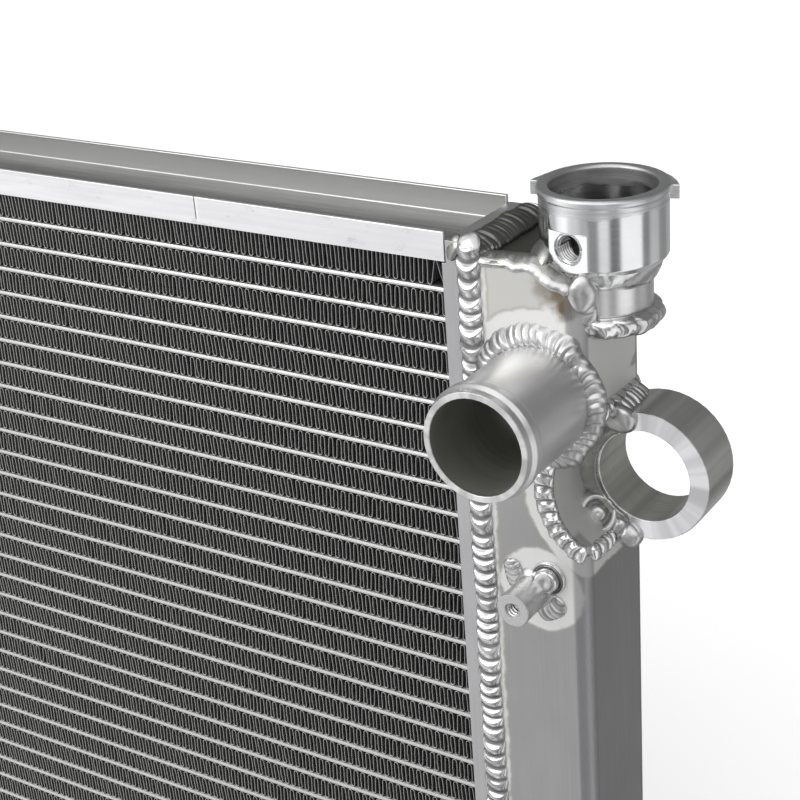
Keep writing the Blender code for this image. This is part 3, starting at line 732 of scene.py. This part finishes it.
def rail_metal():
    """Pale mill finish: scratches along the rail, scuffs, painted shade in the channel behind the
    front flange, and one fine slit in the front flange with a painted highlight beside it.
    """
    g = Finish("rail_metal", grey(0.84), 0.42)
    along = g.noise((16.0, 700.0, 700.0), 4.0, 0.6)
    scuffs = g.noise((130.0, 260.0, 260.0), 5.0, 0.72, (3.0, 1.0, 2.0))
    cloud = g.noise((22.0, 60.0, 60.0), 3.0, 0.6)
    tone = g.mix(g.span(along, 0.3, 0.7, 0.0, 0.5), (0.93, 0.93, 0.95), (0.80, 0.80, 0.81))
    tone = g.mix(g.span(cloud, 0.35, 0.65, 0.0, 0.35), tone, (0.74, 0.74, 0.76))
    tone = g.mix(g.span(scuffs, 0.6, 0.74, 0.0, 0.5), tone, grey(0.52))
    # Painted shade: the channel behind the front flange is nearly black, turning pale at the back
    # flange.
    depth = g.minus(g.axis("Y"), FRONT)
    inside = g.span(depth, 0.9 * MM, 1.2 * MM)
    wall = g.span(depth, RAIL_DEPTH - 2.2 * MM, RAIL_DEPTH - 1.4 * MM)
    shade = g.mix(wall, (0.135, 0.135, 0.125), (0.76, 0.76, 0.75))
    tone = g.mix(g.times(inside, 0.9), tone, shade)
    across = g.minus(g.axis("X"), SLIT_X * MM)
    upper = g.span(g.axis("Z"), TOP_RAIL.high.z - 8.0 * MM, TOP_RAIL.high.z - 7.6 * MM)
    outside = g.minus(1.0, inside)
    zone = g.times(upper, outside)
    dark = g.span(g.math("ABSOLUTE", across), 0.14 * MM, 0.3 * MM, 1.0, 0.0)
    # Painted highlight: a white line beside the slit.
    pale = g.span(g.math("ABSOLUTE", g.minus(across, 0.75 * MM)),
                  0.2 * MM, 0.4 * MM, 1.0, 0.0)
    tone = g.mix(g.times(zone, dark), tone, grey(0.16))
    tone = g.mix(g.times(zone, pale), tone, (1.0, 1.0, 1.0))
    roughness = g.span(along, 0.3, 0.7, 0.34, 0.5)
    return g.done(tone, roughness, g.bump(along, 0.00005, 0.4))


def fitting_metal():
    g = Finish("fitting_metal", (0.74, 0.74, 0.75), 0.3)
    fine = g.noise(1200.0, 3.0)
    tone = g.mix(g.span(fine, 0.3, 0.7), grey(0.64), grey(0.54))
    return g.done(tone, g.span(fine, 0.3, 0.7, 0.26, 0.40), g.bump(fine, 0.00004, 0.3))


def seal_rubber():
    g = Finish("seal_rubber", grey(0.03), 0.7, metallic=0.0)
    speck = g.noise(900.0, 3.0)
    tone = g.mix(speck, grey(0.02), grey(0.05))
    return g.done(tone, g.span(speck, 0.3, 0.7, 0.6, 0.8), g.bump(speck, 0.0001, 0.3))


def tank_halos(side):
    """The heat marks on one tank: outlet, saddle, boss and the seam with its header."""
    outlet = OUTLET[side].middle
    ring = RING[side].middle
    boss = BOSS[side].middle
    marks = [
        ((outlet.x, FRONT, outlet.z), 29.0, "XYZ"),
        ((ring.x, 0.0, ring.z), 33.0, "XZ"),
        ((boss.x + side * 2.4 * MM, FRONT, boss.z + 0.6 * MM), 15.6, "XYZ"),
        ((seam_x(side), 0.0, 0.0), 6.0, "X"),
    ]
    if side > 0:
        marks.append(((NECK.middle.x, NECK.middle.y, CUP.low.z), 25.0, "XYZ"))
    return marks


def tank_stains(side):
    """Brown scorch marks beside the filler neck."""
    if side < 0:
        return ()
    x = NECK.middle.x
    z = CUP.high.z
    return (((x - 8.6 * MM, 0.0, z + 0.9 * MM), 6.8, 0.6),
            ((x - 3.4 * MM, 0.0, z - 4.6 * MM), 6.0, 1.0),
            ((x - 4.6 * MM, 0.0, z - 0.8 * MM), 5.4, 0.85))


# ---- stage

def make_camera():
    azimuth = math.radians(CAMERA_AZIMUTH)
    elevation = math.radians(CAMERA_ELEVATION)
    roll = math.radians(CAMERA_ROLL)
    ahead = Vector((-math.sin(azimuth) * math.cos(elevation),
                    math.cos(azimuth) * math.cos(elevation), -math.sin(elevation)))
    right = Vector((math.cos(azimuth), math.sin(azimuth), 0.0))
    up = right.cross(ahead)
    turned_right = math.cos(roll) * right + math.sin(roll) * up
    turned_up = -math.sin(roll) * right + math.cos(roll) * up
    data = bpy.data.cameras.new("camera")
    data.sensor_width = 36.0
    data.lens = CAMERA_LENS
    data.shift_x, data.shift_y = CAMERA_SHIFT
    data.clip_start = 0.02
    camera = add_object("camera", data)
    turn = Matrix((turned_right, turned_up, -ahead)).transposed()
    camera.matrix_world = Matrix.Translation(CAMERA_AT) @ turn.to_4x4()
    bpy.context.scene.camera = camera


def make_floor():
    mesh = bpy.data.meshes.new("floor")
    low = CAD_BOX[0][2] - 0.2 * MM
    corners = [(-1, -1), (1, -1), (1, 1), (-1, 1)]
    mesh.from_pydata([(x * FLOOR_REACH, y * FLOOR_REACH, low) for x, y in corners], [],
                     [(0, 1, 2, 3)])
    g = Finish("floor_paint", grey(0.93), 0.9, metallic=0.0)
    speck = g.noise(6.0, 2.0)
    g.put(g.shader, {"Emission Color": (1.0, 1.0, 1.0), "Emission Strength": FLOOR_GLOW})
    mesh.materials.append(g.done(g.mix(speck, grey(0.92), grey(0.94))))
    floor = add_object("floor", mesh)
    floor.visible_glossy = False


def make_world():
    """A studio of soft cards low down, a broad lamp above the front, dim above the back."""
    world = bpy.data.worlds.new("studio")
    bpy.context.scene.world = world
    world.use_nodes = True
    g = NodeKit(world.node_tree)
    way = g.add("ShaderNodeTexCoord").outputs["Generated"]
    x, y, z = g.add("ShaderNodeSeparateXYZ", {0: way}).outputs
    share = g.plus(g.math("DIVIDE", g.math("ARCTAN2", x, y), 2.0 * math.pi), 0.5)
    cards = g.add("ShaderNodeValToRGB", {0: share})
    stops = sorted((((90.0 - bearing) / 360.0 + 0.5) % 1.0, level) for bearing, level in CARDS)
    ramp = cards.color_ramp
    ramp.interpolation = "LINEAR"
    while len(ramp.elements) > 1:
        ramp.elements.remove(ramp.elements[-1])
    for index, (position, level) in enumerate(stops):
        card = ramp.elements.new(position) if index else ramp.elements[0]
        card.position = position
        card.color = (level, level, level, 1.0)
    ahead = g.ease(y, -0.65, 0.15, 1.0, 0.0)
    lamp = g.times(ahead, g.ease(z, 0.25, 0.5, 0.3, 1.5))
    lamp = g.times(lamp, g.ease(z, 0.8, 0.97, 1.0, 0.4))
    upper = g.plus(lamp, 0.24)
    above = g.ease(z, -0.05, 0.16)
    low = g.times(cards.outputs[0], g.minus(1.0, above))
    level = g.plus(low, g.times(upper, above))
    seen = g.add("ShaderNodeLightPath").outputs["Is Camera Ray"]
    g.put(g.tree.nodes["Background"],
          {"Color": g.mix(seen, level, (1.0, 1.0, 1.0)), "Strength": 1.0})


def make_lights():
    target = Vector((TANK[1].middle.x, 0.0, TANK[1].high.z - 0.1))
    for name, at, size, power in LAMPS:
        data = bpy.data.lights.new(name, "AREA")
        data.shape = "RECTANGLE"
        data.size, data.size_y = size
        data.energy = power
        lamp = add_object(name, data)
        lamp.location = at
        lamp.rotation_euler = (target - Vector(at)).to_track_quat("-Z", "Y").to_euler()


# ---- CAD nodes

def crease_group():
    """A geometry group that shades smooth except across sharp edges."""
    group = bpy.data.node_groups.new("creases", "GeometryNodeTree")
    group.interface.new_socket("Geometry", in_out="INPUT", socket_type="NodeSocketGeometry")
    group.interface.new_socket("Geometry", in_out="OUTPUT", socket_type="NodeSocketGeometry")
    start = group.nodes.new("NodeGroupInput")
    end = group.nodes.new("NodeGroupOutput")
    angle = group.nodes.new("GeometryNodeInputMeshEdgeAngle")
    compare = group.nodes.new("FunctionNodeCompare")
    compare.data_type = "FLOAT"
    compare.operation = "LESS_THAN"
    compare.inputs[1].default_value = math.radians(CREASE_ANGLE)
    shade = group.nodes.new("GeometryNodeSetShadeSmooth")
    shade.domain = "EDGE"
    group.links.new(angle.outputs[0], compare.inputs[0])
    group.links.new(start.outputs[0], shade.inputs[0])
    group.links.new(compare.outputs[0], shade.inputs[2])
    group.links.new(shade.outputs[0], end.inputs[0])
    return group


def dress(node, finish, bevel, limit=BEVEL_ANGLE):
    """Gives a CAD node its finish, with softened edges from modifiers."""
    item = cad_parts[node]
    mesh = item.data
    mesh.shade_smooth()
    mesh.materials.clear()
    mesh.materials.append(FINISH[finish])
    weld = item.modifiers.new("weld", "WELD")
    weld.merge_threshold = 0.01 * MM
    flat = item.modifiers.new("flat", "DECIMATE")
    flat.decimate_type = "DISSOLVE"
    flat.angle_limit = math.radians(0.5)
    if bevel:
        edge = item.modifiers.new("edge", "BEVEL")
        edge.width = bevel * MM
        edge.segments = 2
        edge.limit_method = "ANGLE"
        edge.angle_limit = math.radians(limit)
        edge.use_clamp_overlap = False
    crease = item.modifiers.new("crease", "NODES")
    crease.node_group = CREASES
    sharp = item.modifiers.new("sharp", "WEIGHTED_NORMAL")
    sharp.keep_sharp = True
    sharp.weight = 50


# Weld metal: two tones, and how much rougher than the brightest kind
WELD_METALS = {
    "weld": ((0.80, 0.80, 0.81), grey(0.60), 0.0),
    "seam": ((0.78, 0.78, 0.79), grey(0.46), 0.04),
    "dull_weld": ((0.36, 0.36, 0.34), (0.24, 0.24, 0.23), 0.14),
    "grey_weld": (grey(0.62), grey(0.44), 0.17),
    "dark_weld": ((0.24, 0.24, 0.225), (0.15, 0.15, 0.14), 0.2),
    "thread": (grey(0.70), grey(0.60), 0.12),
}


def make_finishes():
    neck = NECK.middle
    finishes = {
        key: weld_metal(key + "_metal", bright, plain, extra_rough)
        for key, (bright, plain, extra_rough) in WELD_METALS.items()
    }
    finishes.update({
        "tube": tube_metal(),
        "fin": fin_metal(),
        "rail": rail_metal(),
        "fitting": fitting_metal(),
        "seal": seal_rubber(),
        "header": brushed_sheet("header_metal", (0.54, 0.54, 0.55), [], (900.0, 900.0, 30.0),
                                (0.36, 0.5)),
        "cap": brushed_sheet("cap_metal", (0.13, 0.13, 0.115), [], (120.0, 500.0, 500.0),
                             (0.4, 0.55)),
        # The neck's bore and its rim's top carry painted shade.
        "neck": turned_metal("neck_metal", (0.84, 0.85, 0.86), (0.09, 0.20), "Z",
                             (neck.x, neck.y, 0.0), 2400.0, 0.3, bore=NECK_BORE,
                             shaded_bore_tone=grey(0.56), bore_rough=0.05,
                             band=NECK.high.z - 5.8 * MM, shaded_rim_height=NECK.high.z - 0.5 * MM),
        "cup": turned_metal("cup_metal", grey(0.80), (0.26, 0.40), "Z",
                            (neck.x, neck.y, 0.0), 1800.0, 0.25),
    })
    for side, name in SIDE_NAME.items():
        finishes["tank_" + name] = brushed_sheet(
            "tank_metal_" + name, (0.41, 0.41, 0.415), tank_halos(side),
            pale=PALE_HEIGHTS, bend=side_x(side), stains=tank_stains(side))
        outlet = OUTLET[side].middle
        finishes["outlet_" + name] = turned_metal(
            "outlet_metal_" + name, grey(0.76), (0.32, 0.44), "Y",
            (outlet.x, 0.0, outlet.z), 2000.0, 0.4, bore=OUTLET_BORE,
            shaded_bore_tone=(0.42, 0.42, 0.38), face=(OUTLET[side].low.y, grey(0.86)))
        ring = RING[side].middle
        # The ring's near-white end is partly a painted reflection, and its outside carries painted
        # bands.
        finishes["ring_" + name] = turned_metal(
            "ring_metal_" + name, (0.80, 0.80, 0.78), (0.15, 0.25), "Y",
            (ring.x, 0.0, ring.z), 1600.0, 0.4, bore=RING_BORE, shaded_bore_tone=(0.62, 0.62, 0.57),
            bore_rough=0.2, streaks=True, face=(RING[side].low.y, (0.97, 0.97, 0.99)))
    return finishes


def dress_nodes():
    """Every CAD node's finish and the width of its softened edges."""
    for node in sorted(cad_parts):
        if node.startswith("core_tube_"):
            dress(node, "tube", 0.0)
    for side, name in SIDE_NAME.items():
        dress("header_plate_" + name, "header", 0.25)
        dress("tank_" + name, "tank_" + name, 0.3)
        dress("mount_saddle_" + name, "tank_" + name, 0.3)
        dress("tank_top_cap_" + name, "cap", 0.3)
        dress("tank_bottom_cap_" + name, "cap", 0.3)
        dress("mount_ring_" + name, "ring_" + name, 0.35)
        dress("threaded_boss_" + name, "fitting", 0.3)
    for node, finish in (("top_rail", "rail"), ("bottom_rail", "rail"),
                         ("filler_neck_cup", "cup"), ("drain_bung", "fitting"),
                         ("drain_plug", "fitting"), ("drain_seal", "seal")):
        dress(node, finish, 0.3)
    dress("upper_hose_outlet", "outlet_right", 0.25)
    dress("lower_hose_outlet", "outlet_left", 0.25)
    dress("filler_neck", "neck", 0.35, NECK_BEVEL_ANGLE)


# ---- folded fins

def fin_path(length, tall, seed, wide_end):
    """A fin strip's centre line: upright legs joined by half-round crests, with slight wander."""
    rng = np.random.default_rng(seed)
    folded = length - (WIDE_END if wide_end else 0.0)
    count = int(folded / FIN_PITCH)
    pitch = folded / count
    radius = pitch / 4.0
    leg = tall / 2.0 - radius
    arc = np.linspace(0.0, math.pi, 5)
    starts = np.arange(count) * pitch + rng.normal(0.0, FIN_WANDER, count)
    lean = FIN_LEAN * smooth_noise(np.arange(count) * pitch, FIN_LEAN_SPACING, seed + 50)
    xs = []
    zs = []
    for start, slant in zip(starts, lean):
        reach = rng.normal(0.0, FIN_WANDER)
        xs.append(start - 0.10 + reach * 0.3)
        zs.append(0.0)
        xs.extend(start + radius - radius * np.cos(arc) + slant)
        zs.extend(leg + radius * np.sin(arc))
        xs.append(start + 2.0 * radius + 0.10)
        zs.append(reach)
        xs.extend(start + 3.0 * radius - radius * np.cos(arc) - slant)
        zs.extend(-leg - radius * np.sin(arc))
    if wide_end:
        xs.extend(length - from_end for from_end, _ in WIDE_FOLD)
        zs.extend(share * tall for _, share in WIDE_FOLD)
    return np.array(xs), np.array(zs)


def fin_strip(left, floor, roof, xs, zs):
    """The points and faces of one folded strip between two tubes."""
    slope_x = np.gradient(xs)
    slope_z = np.gradient(zs)
    size = np.hypot(slope_x, slope_z)
    off_x = -slope_z / size * FIN_FOIL / 2.0
    off_z = slope_x / size * FIN_FOIL / 2.0
    middle = (floor + roof) / 2.0
    corners = []
    for way, y in ((1.0, FIN_FRONT), (1.0, FIN_BACK), (-1.0, FIN_BACK), (-1.0, FIN_FRONT)):
        corners.append(np.stack([left + (xs + way * off_x) * MM, np.full_like(xs, FRONT + y * MM),
                                 middle + (zs + way * off_z) * MM], 1))
    quads = grid_quads(len(xs), 4, wrap_columns=True)
    last = (len(xs) - 1) * 4
    ends = np.array([[3, 2, 1, 0], [last, last + 1, last + 2, last + 3]])
    return np.stack(corners, 1).reshape(-1, 3), np.concatenate([quads, ends])


def make_fins():
    """Real folded strips in place of the plain comb, a few rows to a piece."""
    left = HEADER[-1].high.x + FIN_END_GAP * MM
    right = HEADER[1].low.x - FIN_END_GAP * MM
    heights = sorted(Place(n).middle.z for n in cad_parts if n.startswith("core_tube_"))
    floors = [BOTTOM_RAIL.high.z] + [h + TUBE_HALF * MM for h in heights]
    roofs = [h - TUBE_HALF * MM for h in heights] + [TOP_RAIL.low.z]
    rows = list(zip(floors, roofs))
    for first in range(0, len(rows), ROWS_PER_PIECE):
        points = []
        quads = []
        for index in range(first, min(first + ROWS_PER_PIECE, len(rows))):
            floor, roof = rows[index]
            tall = (roof - floor) / MM - FIN_FOIL - FIN_CLEAR
            xs, zs = fin_path((right - left) / MM, tall, 300 + index, index == len(rows) - 1)
            strip_points, strip_quads = fin_strip(left, floor, roof, xs, zs)
            quads.append(strip_quads + sum(len(p) for p in points))
            points.append(strip_points)
        name = f"fin_strips_{first // ROWS_PER_PIECE + 1:02d}"
        mesh = quad_mesh(name, np.concatenate(points), np.concatenate(quads))
        piece = add_piece(name, mesh, FINISH["fin"], smooth=False)
        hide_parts("fin_pack")


# ---- weld beads

def straight_bead(name, start, end, normal, seed, kind, **options):
    weld_bead(name, [start, end], [normal, normal], seed, kind, **options)


def circle_path(center, radius, plane, start=0.0, end=360.0, count=73):
    """Points on a circle in the XZ or XY plane, and their outward directions."""
    points = []
    outward = []
    for angle in np.radians(np.linspace(start, end, count)):
        c, s = math.cos(angle), math.sin(angle)
        way = (c, 0.0, s) if plane == "XZ" else (c, s, 0.0)
        points.append(tuple(center[k] + radius * MM * way[k] for k in range(3)))
        outward.append(way)
    return points, outward


def circle_bead(name, center, radius, plane, normal, seed, kind, span=(0.0, 360.0, 73),
                **options):
    """A bead round a circle. normal is the share of the outward way, then the axis's share."""
    points, outward = circle_path(center, radius, plane, *span)
    out, along = normal
    if plane == "XZ":
        normals = [(w[0] * out, along, w[2] * out) for w in outward]
    else:
        normals = [(w[0] * out, w[1] * out, along) for w in outward]
    weld_bead(name, points, normals, seed, kind, **options)


def round_corner(x, side):
    """How far over the tank's rounded corner a point is, 0 to 1, and its drop there."""
    straight = abs(side_x(side)) - TANK_CORNER * MM
    over = np.clip((abs(x) - straight) / (TANK_CORNER * MM), 0.0, 1.0)
    return over, TANK_CORNER * (1.0 - math.sqrt(max(1.0 - over ** 2, 0.0)))


def make_seams(side):
    """The four beads that join a tank to its header plate, and the blobs at their corner."""
    name = SIDE_NAME[side]
    x = seam_x(side)
    header = HEADER[side]
    low = header.low.z - 0.3 * MM
    high = header.high.z + 0.3 * MM
    straight_bead("seam_front_" + name, (x, FRONT, high), (x, FRONT, low), (0, -1, 0),
                  21 + side, "seam", gap=SEAM_GAP, pace=SEAM_PACE)
    back = (CORE_BACK + BACK) / 2.0
    straight_bead("seam_back_" + name, (x, back, low), (x, back, high), (0, 1, 0),
                  31 + side, "seam", gap=SEAM_GAP)
    lean = side * 0.4
    across = x + side * 1.5 * MM
    front_end = FRONT - 0.5 * MM
    back_end = BACK + 0.5 * MM
    top = (header.high.z + TANK[side].high.z) / 2.0
    straight_bead("seam_top_" + name, (across, front_end, top), (across, back_end, top),
                  (lean, 0, 1.0), 41 + side, "seam_top")
    bottom = (header.low.z + TANK[side].low.z) / 2.0
    straight_bead("seam_bottom_" + name, (across, back_end, bottom),
                  (across, front_end, bottom), (lean, 0, -1.0), 51 + side, "seam_bottom")
    y = FRONT + 0.8 * MM
    weld_tack("seam_corner_" + name, (x + side * 0.4 * MM, y, header.high.z - 0.4 * MM),
              (0.0, -1.0, 0.7), 181 + side, "seam_corner")
    weld_tack("seam_corner_rail_" + name, (x - side * 5.2 * MM, y, header.high.z - 2.0 * MM),
              (-side * 0.3, -1.0, 0.5), 185 + side, "seam_corner_rail")


def outlet_bead(side):
    """A fillet round the root of a hose outlet, wrapping over the tank's corner."""
    middle = OUTLET[side].middle
    points, outward = circle_path((middle.x, FRONT, middle.z), OUTLET_BEAD_R, "XZ")
    turns = np.arange(len(points)) / (len(points) - 1.0)
    lumps = 1.0 + 0.16 * np.sin(2.0 * math.pi * 4.0 * turns + 1.0) * np.sin(
        2.0 * math.pi * 3.0 * turns + 0.4)
    path = []
    normals = []
    swell = []
    for point, way, lump in zip(points, outward, lumps):
        over, drop = round_corner(point[0], side)
        inward = 1.5 * over * MM
        path.append((point[0] - way[0] * inward,
                     point[1] + (min(0.3 * drop, 1.4) - 0.4 - 1.1 * over) * MM,
                     point[2] - way[2] * inward))
        normals.append((way[0] * 0.75, -1.0, way[2] * 0.75))
        swell.append(lump * (1.0 - 0.34 * over))
    weld_bead("outlet_bead_" + SIDE_NAME[side], path, normals, 61 + side, "outlet", swell=swell)


def saddle_beads(side):
    """Beads round the mouth of the saddle and along its two side edges."""
    name = SIDE_NAME[side]
    ring = RING[side].middle
    for label, y, way in WALLS:
        points, outward = circle_path((abs(ring.x), y, ring.z), SADDLE_BEAD_R, "XZ",
                                      243.0, 117.0, 49)
        path = []
        normals = []
        for point, out in zip(points, outward):
            over, drop = round_corner(point[0], side)
            path.append((side * point[0], point[1] - way * drop * MM, point[2]))
            normals.append((side * (over - 0.15 * out[0]), way * (1.2 - over), 0.15 * out[2]))
        weld_bead(f"saddle_bead_{label}_{name}", path, normals, 71 + side + int(way),
                  "saddle_mouth")
    reach = abs(ring.x) - abs(side_x(side))
    rise = math.sqrt((SADDLE_BEAD_R * MM) ** 2 - reach ** 2)
    for label, way in (("upper", 1.0), ("lower", -1.0)):
        z = ring.z + way * (rise - 0.4 * MM)
        straight_bead(f"saddle_bead_{label}_{name}", (side_x(side), FRONT + 3.5 * MM, z),
                      (side_x(side), BACK - 3.5 * MM, z), (side * 1.0, 0.0, -way * 0.25),
                      81 + side + int(way), "saddle_side")


def ring_spot(side, place, y):
    """A place round a mounting ring's axis, and its outward direction in X and Z."""
    ring = RING[side].middle
    degrees, out = place
    c = side * math.cos(math.radians(degrees))
    s = math.sin(math.radians(degrees))
    return (ring.x + out * MM * c, y, ring.z + out * MM * s), c, s


def ring_welds(side):
    """The weld between the ring and its saddle: a collar, a crater, tacks and side fillets."""
    name = SIDE_NAME[side]
    ring = RING[side].middle
    front = RING[side].low.y
    points, outward = circle_path((abs(ring.x), front, ring.z), 20.9, "XZ", 254.0, 110.0, 49)
    path = [(side * p[0], p[1] + 0.2 * MM, p[2]) for p in points]
    normals = [(side * w[0] * 0.25, -1.0, w[2] * 0.25) for w in outward]
    weld_bead("ring_collar_" + name, path, normals, 88 + side, "ring_collar")
    at, c, s = ring_spot(side, RING_CRATER, front - 2.6 * MM)
    weld_tack("ring_crater_" + name, at, (-0.62 * c, -0.78, -0.62 * s), 97, "ring_crater")
    for index, place in enumerate(RING_TACKS):
        kind = f"ring_tack_{index + 1}"
        at, c, s = ring_spot(side, place, front - 0.2 * MM)
        weld_tack(f"{kind}_{name}", at, (-0.35 * c, -1.0, -0.35 * s), 91 + index, kind)
    reach = abs(ring.x) - abs(side_x(side))
    rise = math.sqrt((RING_OUTSIDE * MM) ** 2 - (reach - 2.6 * MM) ** 2)
    x = side_x(side) + side * 2.6 * MM
    for label, way in (("upper", 1.0), ("lower", -1.0)):
        z = ring.z + way * (rise + 0.9 * MM)
        straight_bead(f"ring_fillet_{label}_{name}", (x, front - 1.0 * MM, z),
                      (x, RING[side].high.y - 0.5 * MM, z), (side * 0.55, 0.0, way * 0.85),
                      95 + side + int(way), "ring_fillet")


def boss_welds(side):
    """Two rippled arcs and one round button that hold the boss, and a thin fillet."""
    name = SIDE_NAME[side]
    boss = BOSS[side].middle
    arcs = (("outer", ((-8.6, 9.6), (-7.4, 4.6), (-6.2, -1.5))),
            ("lower", ((10.0, -1.6), (7.0, -5.4), (1.0, -9.2))))
    for index, (label, trail) in enumerate(arcs):
        path = [(boss.x + side * x * MM, FRONT, boss.z + z * MM) for x, z in trail]
        weld_bead(f"boss_arc_{label}_{name}", path, [(0, -1, 0)] * 3, 115 + index + side,
                  "boss_" + label)
    at = (boss.x + side * 5.6 * MM, FRONT - 0.1 * MM, boss.z + 5.6 * MM)
    weld_tack(f"boss_button_{name}", at, (0, -1, 0), 111, "boss_button")
    circle_bead("boss_fillet_" + name, (boss.x, FRONT, boss.z), 6.1, "XZ", (1.0, -1.0),
                121 + side, "boss_fillet")


def neck_welds():
    """The collar under the neck, the ring at its foot, the notch welds and the root."""
    x, y = CUP.middle.x, CUP.middle.y
    circle_bead("neck_collar_bead", (x, y, CUP.high.z + 1.6 * MM), 16.0, "XY", (1.0, -0.55),
                131, "neck_collar", wander_step=7.0)
    circle_bead("neck_foot_bead", (x, y, CUP.low.z + 0.6 * MM), 14.9, "XY", (1.0, -0.35),
                141, "neck_foot")
    for label, _, way in WALLS:
        foot = (side_x(1) - 0.4 * MM, y + way * 16.6 * MM, CUP.low.z + 1.0 * MM)
        head = (side_x(1) - 0.8 * MM, y + way * 17.2 * MM, CUP.high.z + 3.0 * MM)
        straight_bead("notch_bead_" + label, head, foot, (0.6, way, 0.0), 151 + int(way), "notch")
        at = (head[0] - 0.2 * MM, head[1] + way * 0.6 * MM, NOTCH_TACK_Z * MM)
        weld_tack("notch_dab_" + label, at, (0.6, way, 0.0), 155 + int(way), "notch")
    circle_bead("neck_root_bead", (NECK.middle.x, y, TOP_CAP.high.z + 0.4 * MM), 20.4, "XY",
                (0.8, 1.0), 201, "neck_root", (118.0, 242.0, 41))
    for label, _, way in WALLS:
        at = (NECK.middle.x - 14.0 * MM, y + way * 16.5 * MM, TOP_CAP.high.z + 0.6 * MM)
        weld_tack("neck_puddle_" + label, at, (-0.4, way * 0.75, 0.6), 203, "neck_puddle")


def cap_welds():
    """The smooth melted edge where the top cap meets the front and back walls."""
    high = TANK[1].high.z
    low = TOP_CAP.low.z + TANK_WALL * MM
    start = seam_x(1) + 2.5 * MM
    end = side_x(1) - 3.4 * MM
    for label, wall, way in WALLS:
        y = wall - way * 1.6 * MM
        path = [(start, y, high), (start + 19.0 * MM, y, high), (end, y, low)]
        normals = [(lean, way * 0.7, 1.0) for lean in (0.0, 0.1, 0.35)]
        weld_bead("cap_bead_" + label, path, normals, 161 + int(way), "cap")
        edge = [(q[0], q[1] + way * 1.35 * MM, q[2] - 1.0 * MM) for q in path]
        weld_bead("cap_edge_" + label, edge, [(0.0, way, 0.75)] * 3, 165 + int(way),
                  "cap_edge", wander_step=3.5)


def make_welds():
    for side in SIDE_NAME:
        make_seams(side)
        outlet_bead(side)
        saddle_beads(side)
        ring_welds(side)
        boss_welds(side)
    neck_welds()
    cap_welds()
    circle_bead("bung_bead", (BUNG.middle.x, BACK, BUNG.middle.z), 11.2, "XZ", (1.0, 1.0),
                171, "bung", (360.0, 0.0, 73))


# ---- threads

def make_threads():
    """The threads in the two bosses and in the neck's side port."""
    for side, name in SIDE_NAME.items():
        boss = BOSS[side]
        mouth = (boss.middle.x, boss.low.y + 0.3 * MM, boss.middle.z)
        thread_sleeve("boss_thread_" + name, mouth, (0, 1, 0), BOSS_THREAD_LENGTH, **BOSS_THREAD)
    angle = math.radians(PORT_BEARING)
    inward = (-math.cos(angle), -math.sin(angle), 0.0)
    at = (CUP.middle.x - PORT_MOUTH * MM * inward[0], CUP.middle.y - PORT_MOUTH * MM * inward[1],
          PORT_Z * MM)
    for label, end, arc in (("lower", PORT_LOWER_END, (180.0, 360.0)),
                            ("upper", PORT_UPPER_END, (0.0, 180.0))):
        thread_sleeve("port_thread_" + label, at, inward, PORT_MOUTH - end,
                      slot="polished_neck", arc=arc, **PORT_THREAD)


FINISH = make_finishes()
CREASES = crease_group()
bpy.context.scene.view_settings.view_transform = "Standard"
make_camera()
make_floor()
make_world()
make_lights()
dress_nodes()
make_fins()
make_welds()
make_threads()
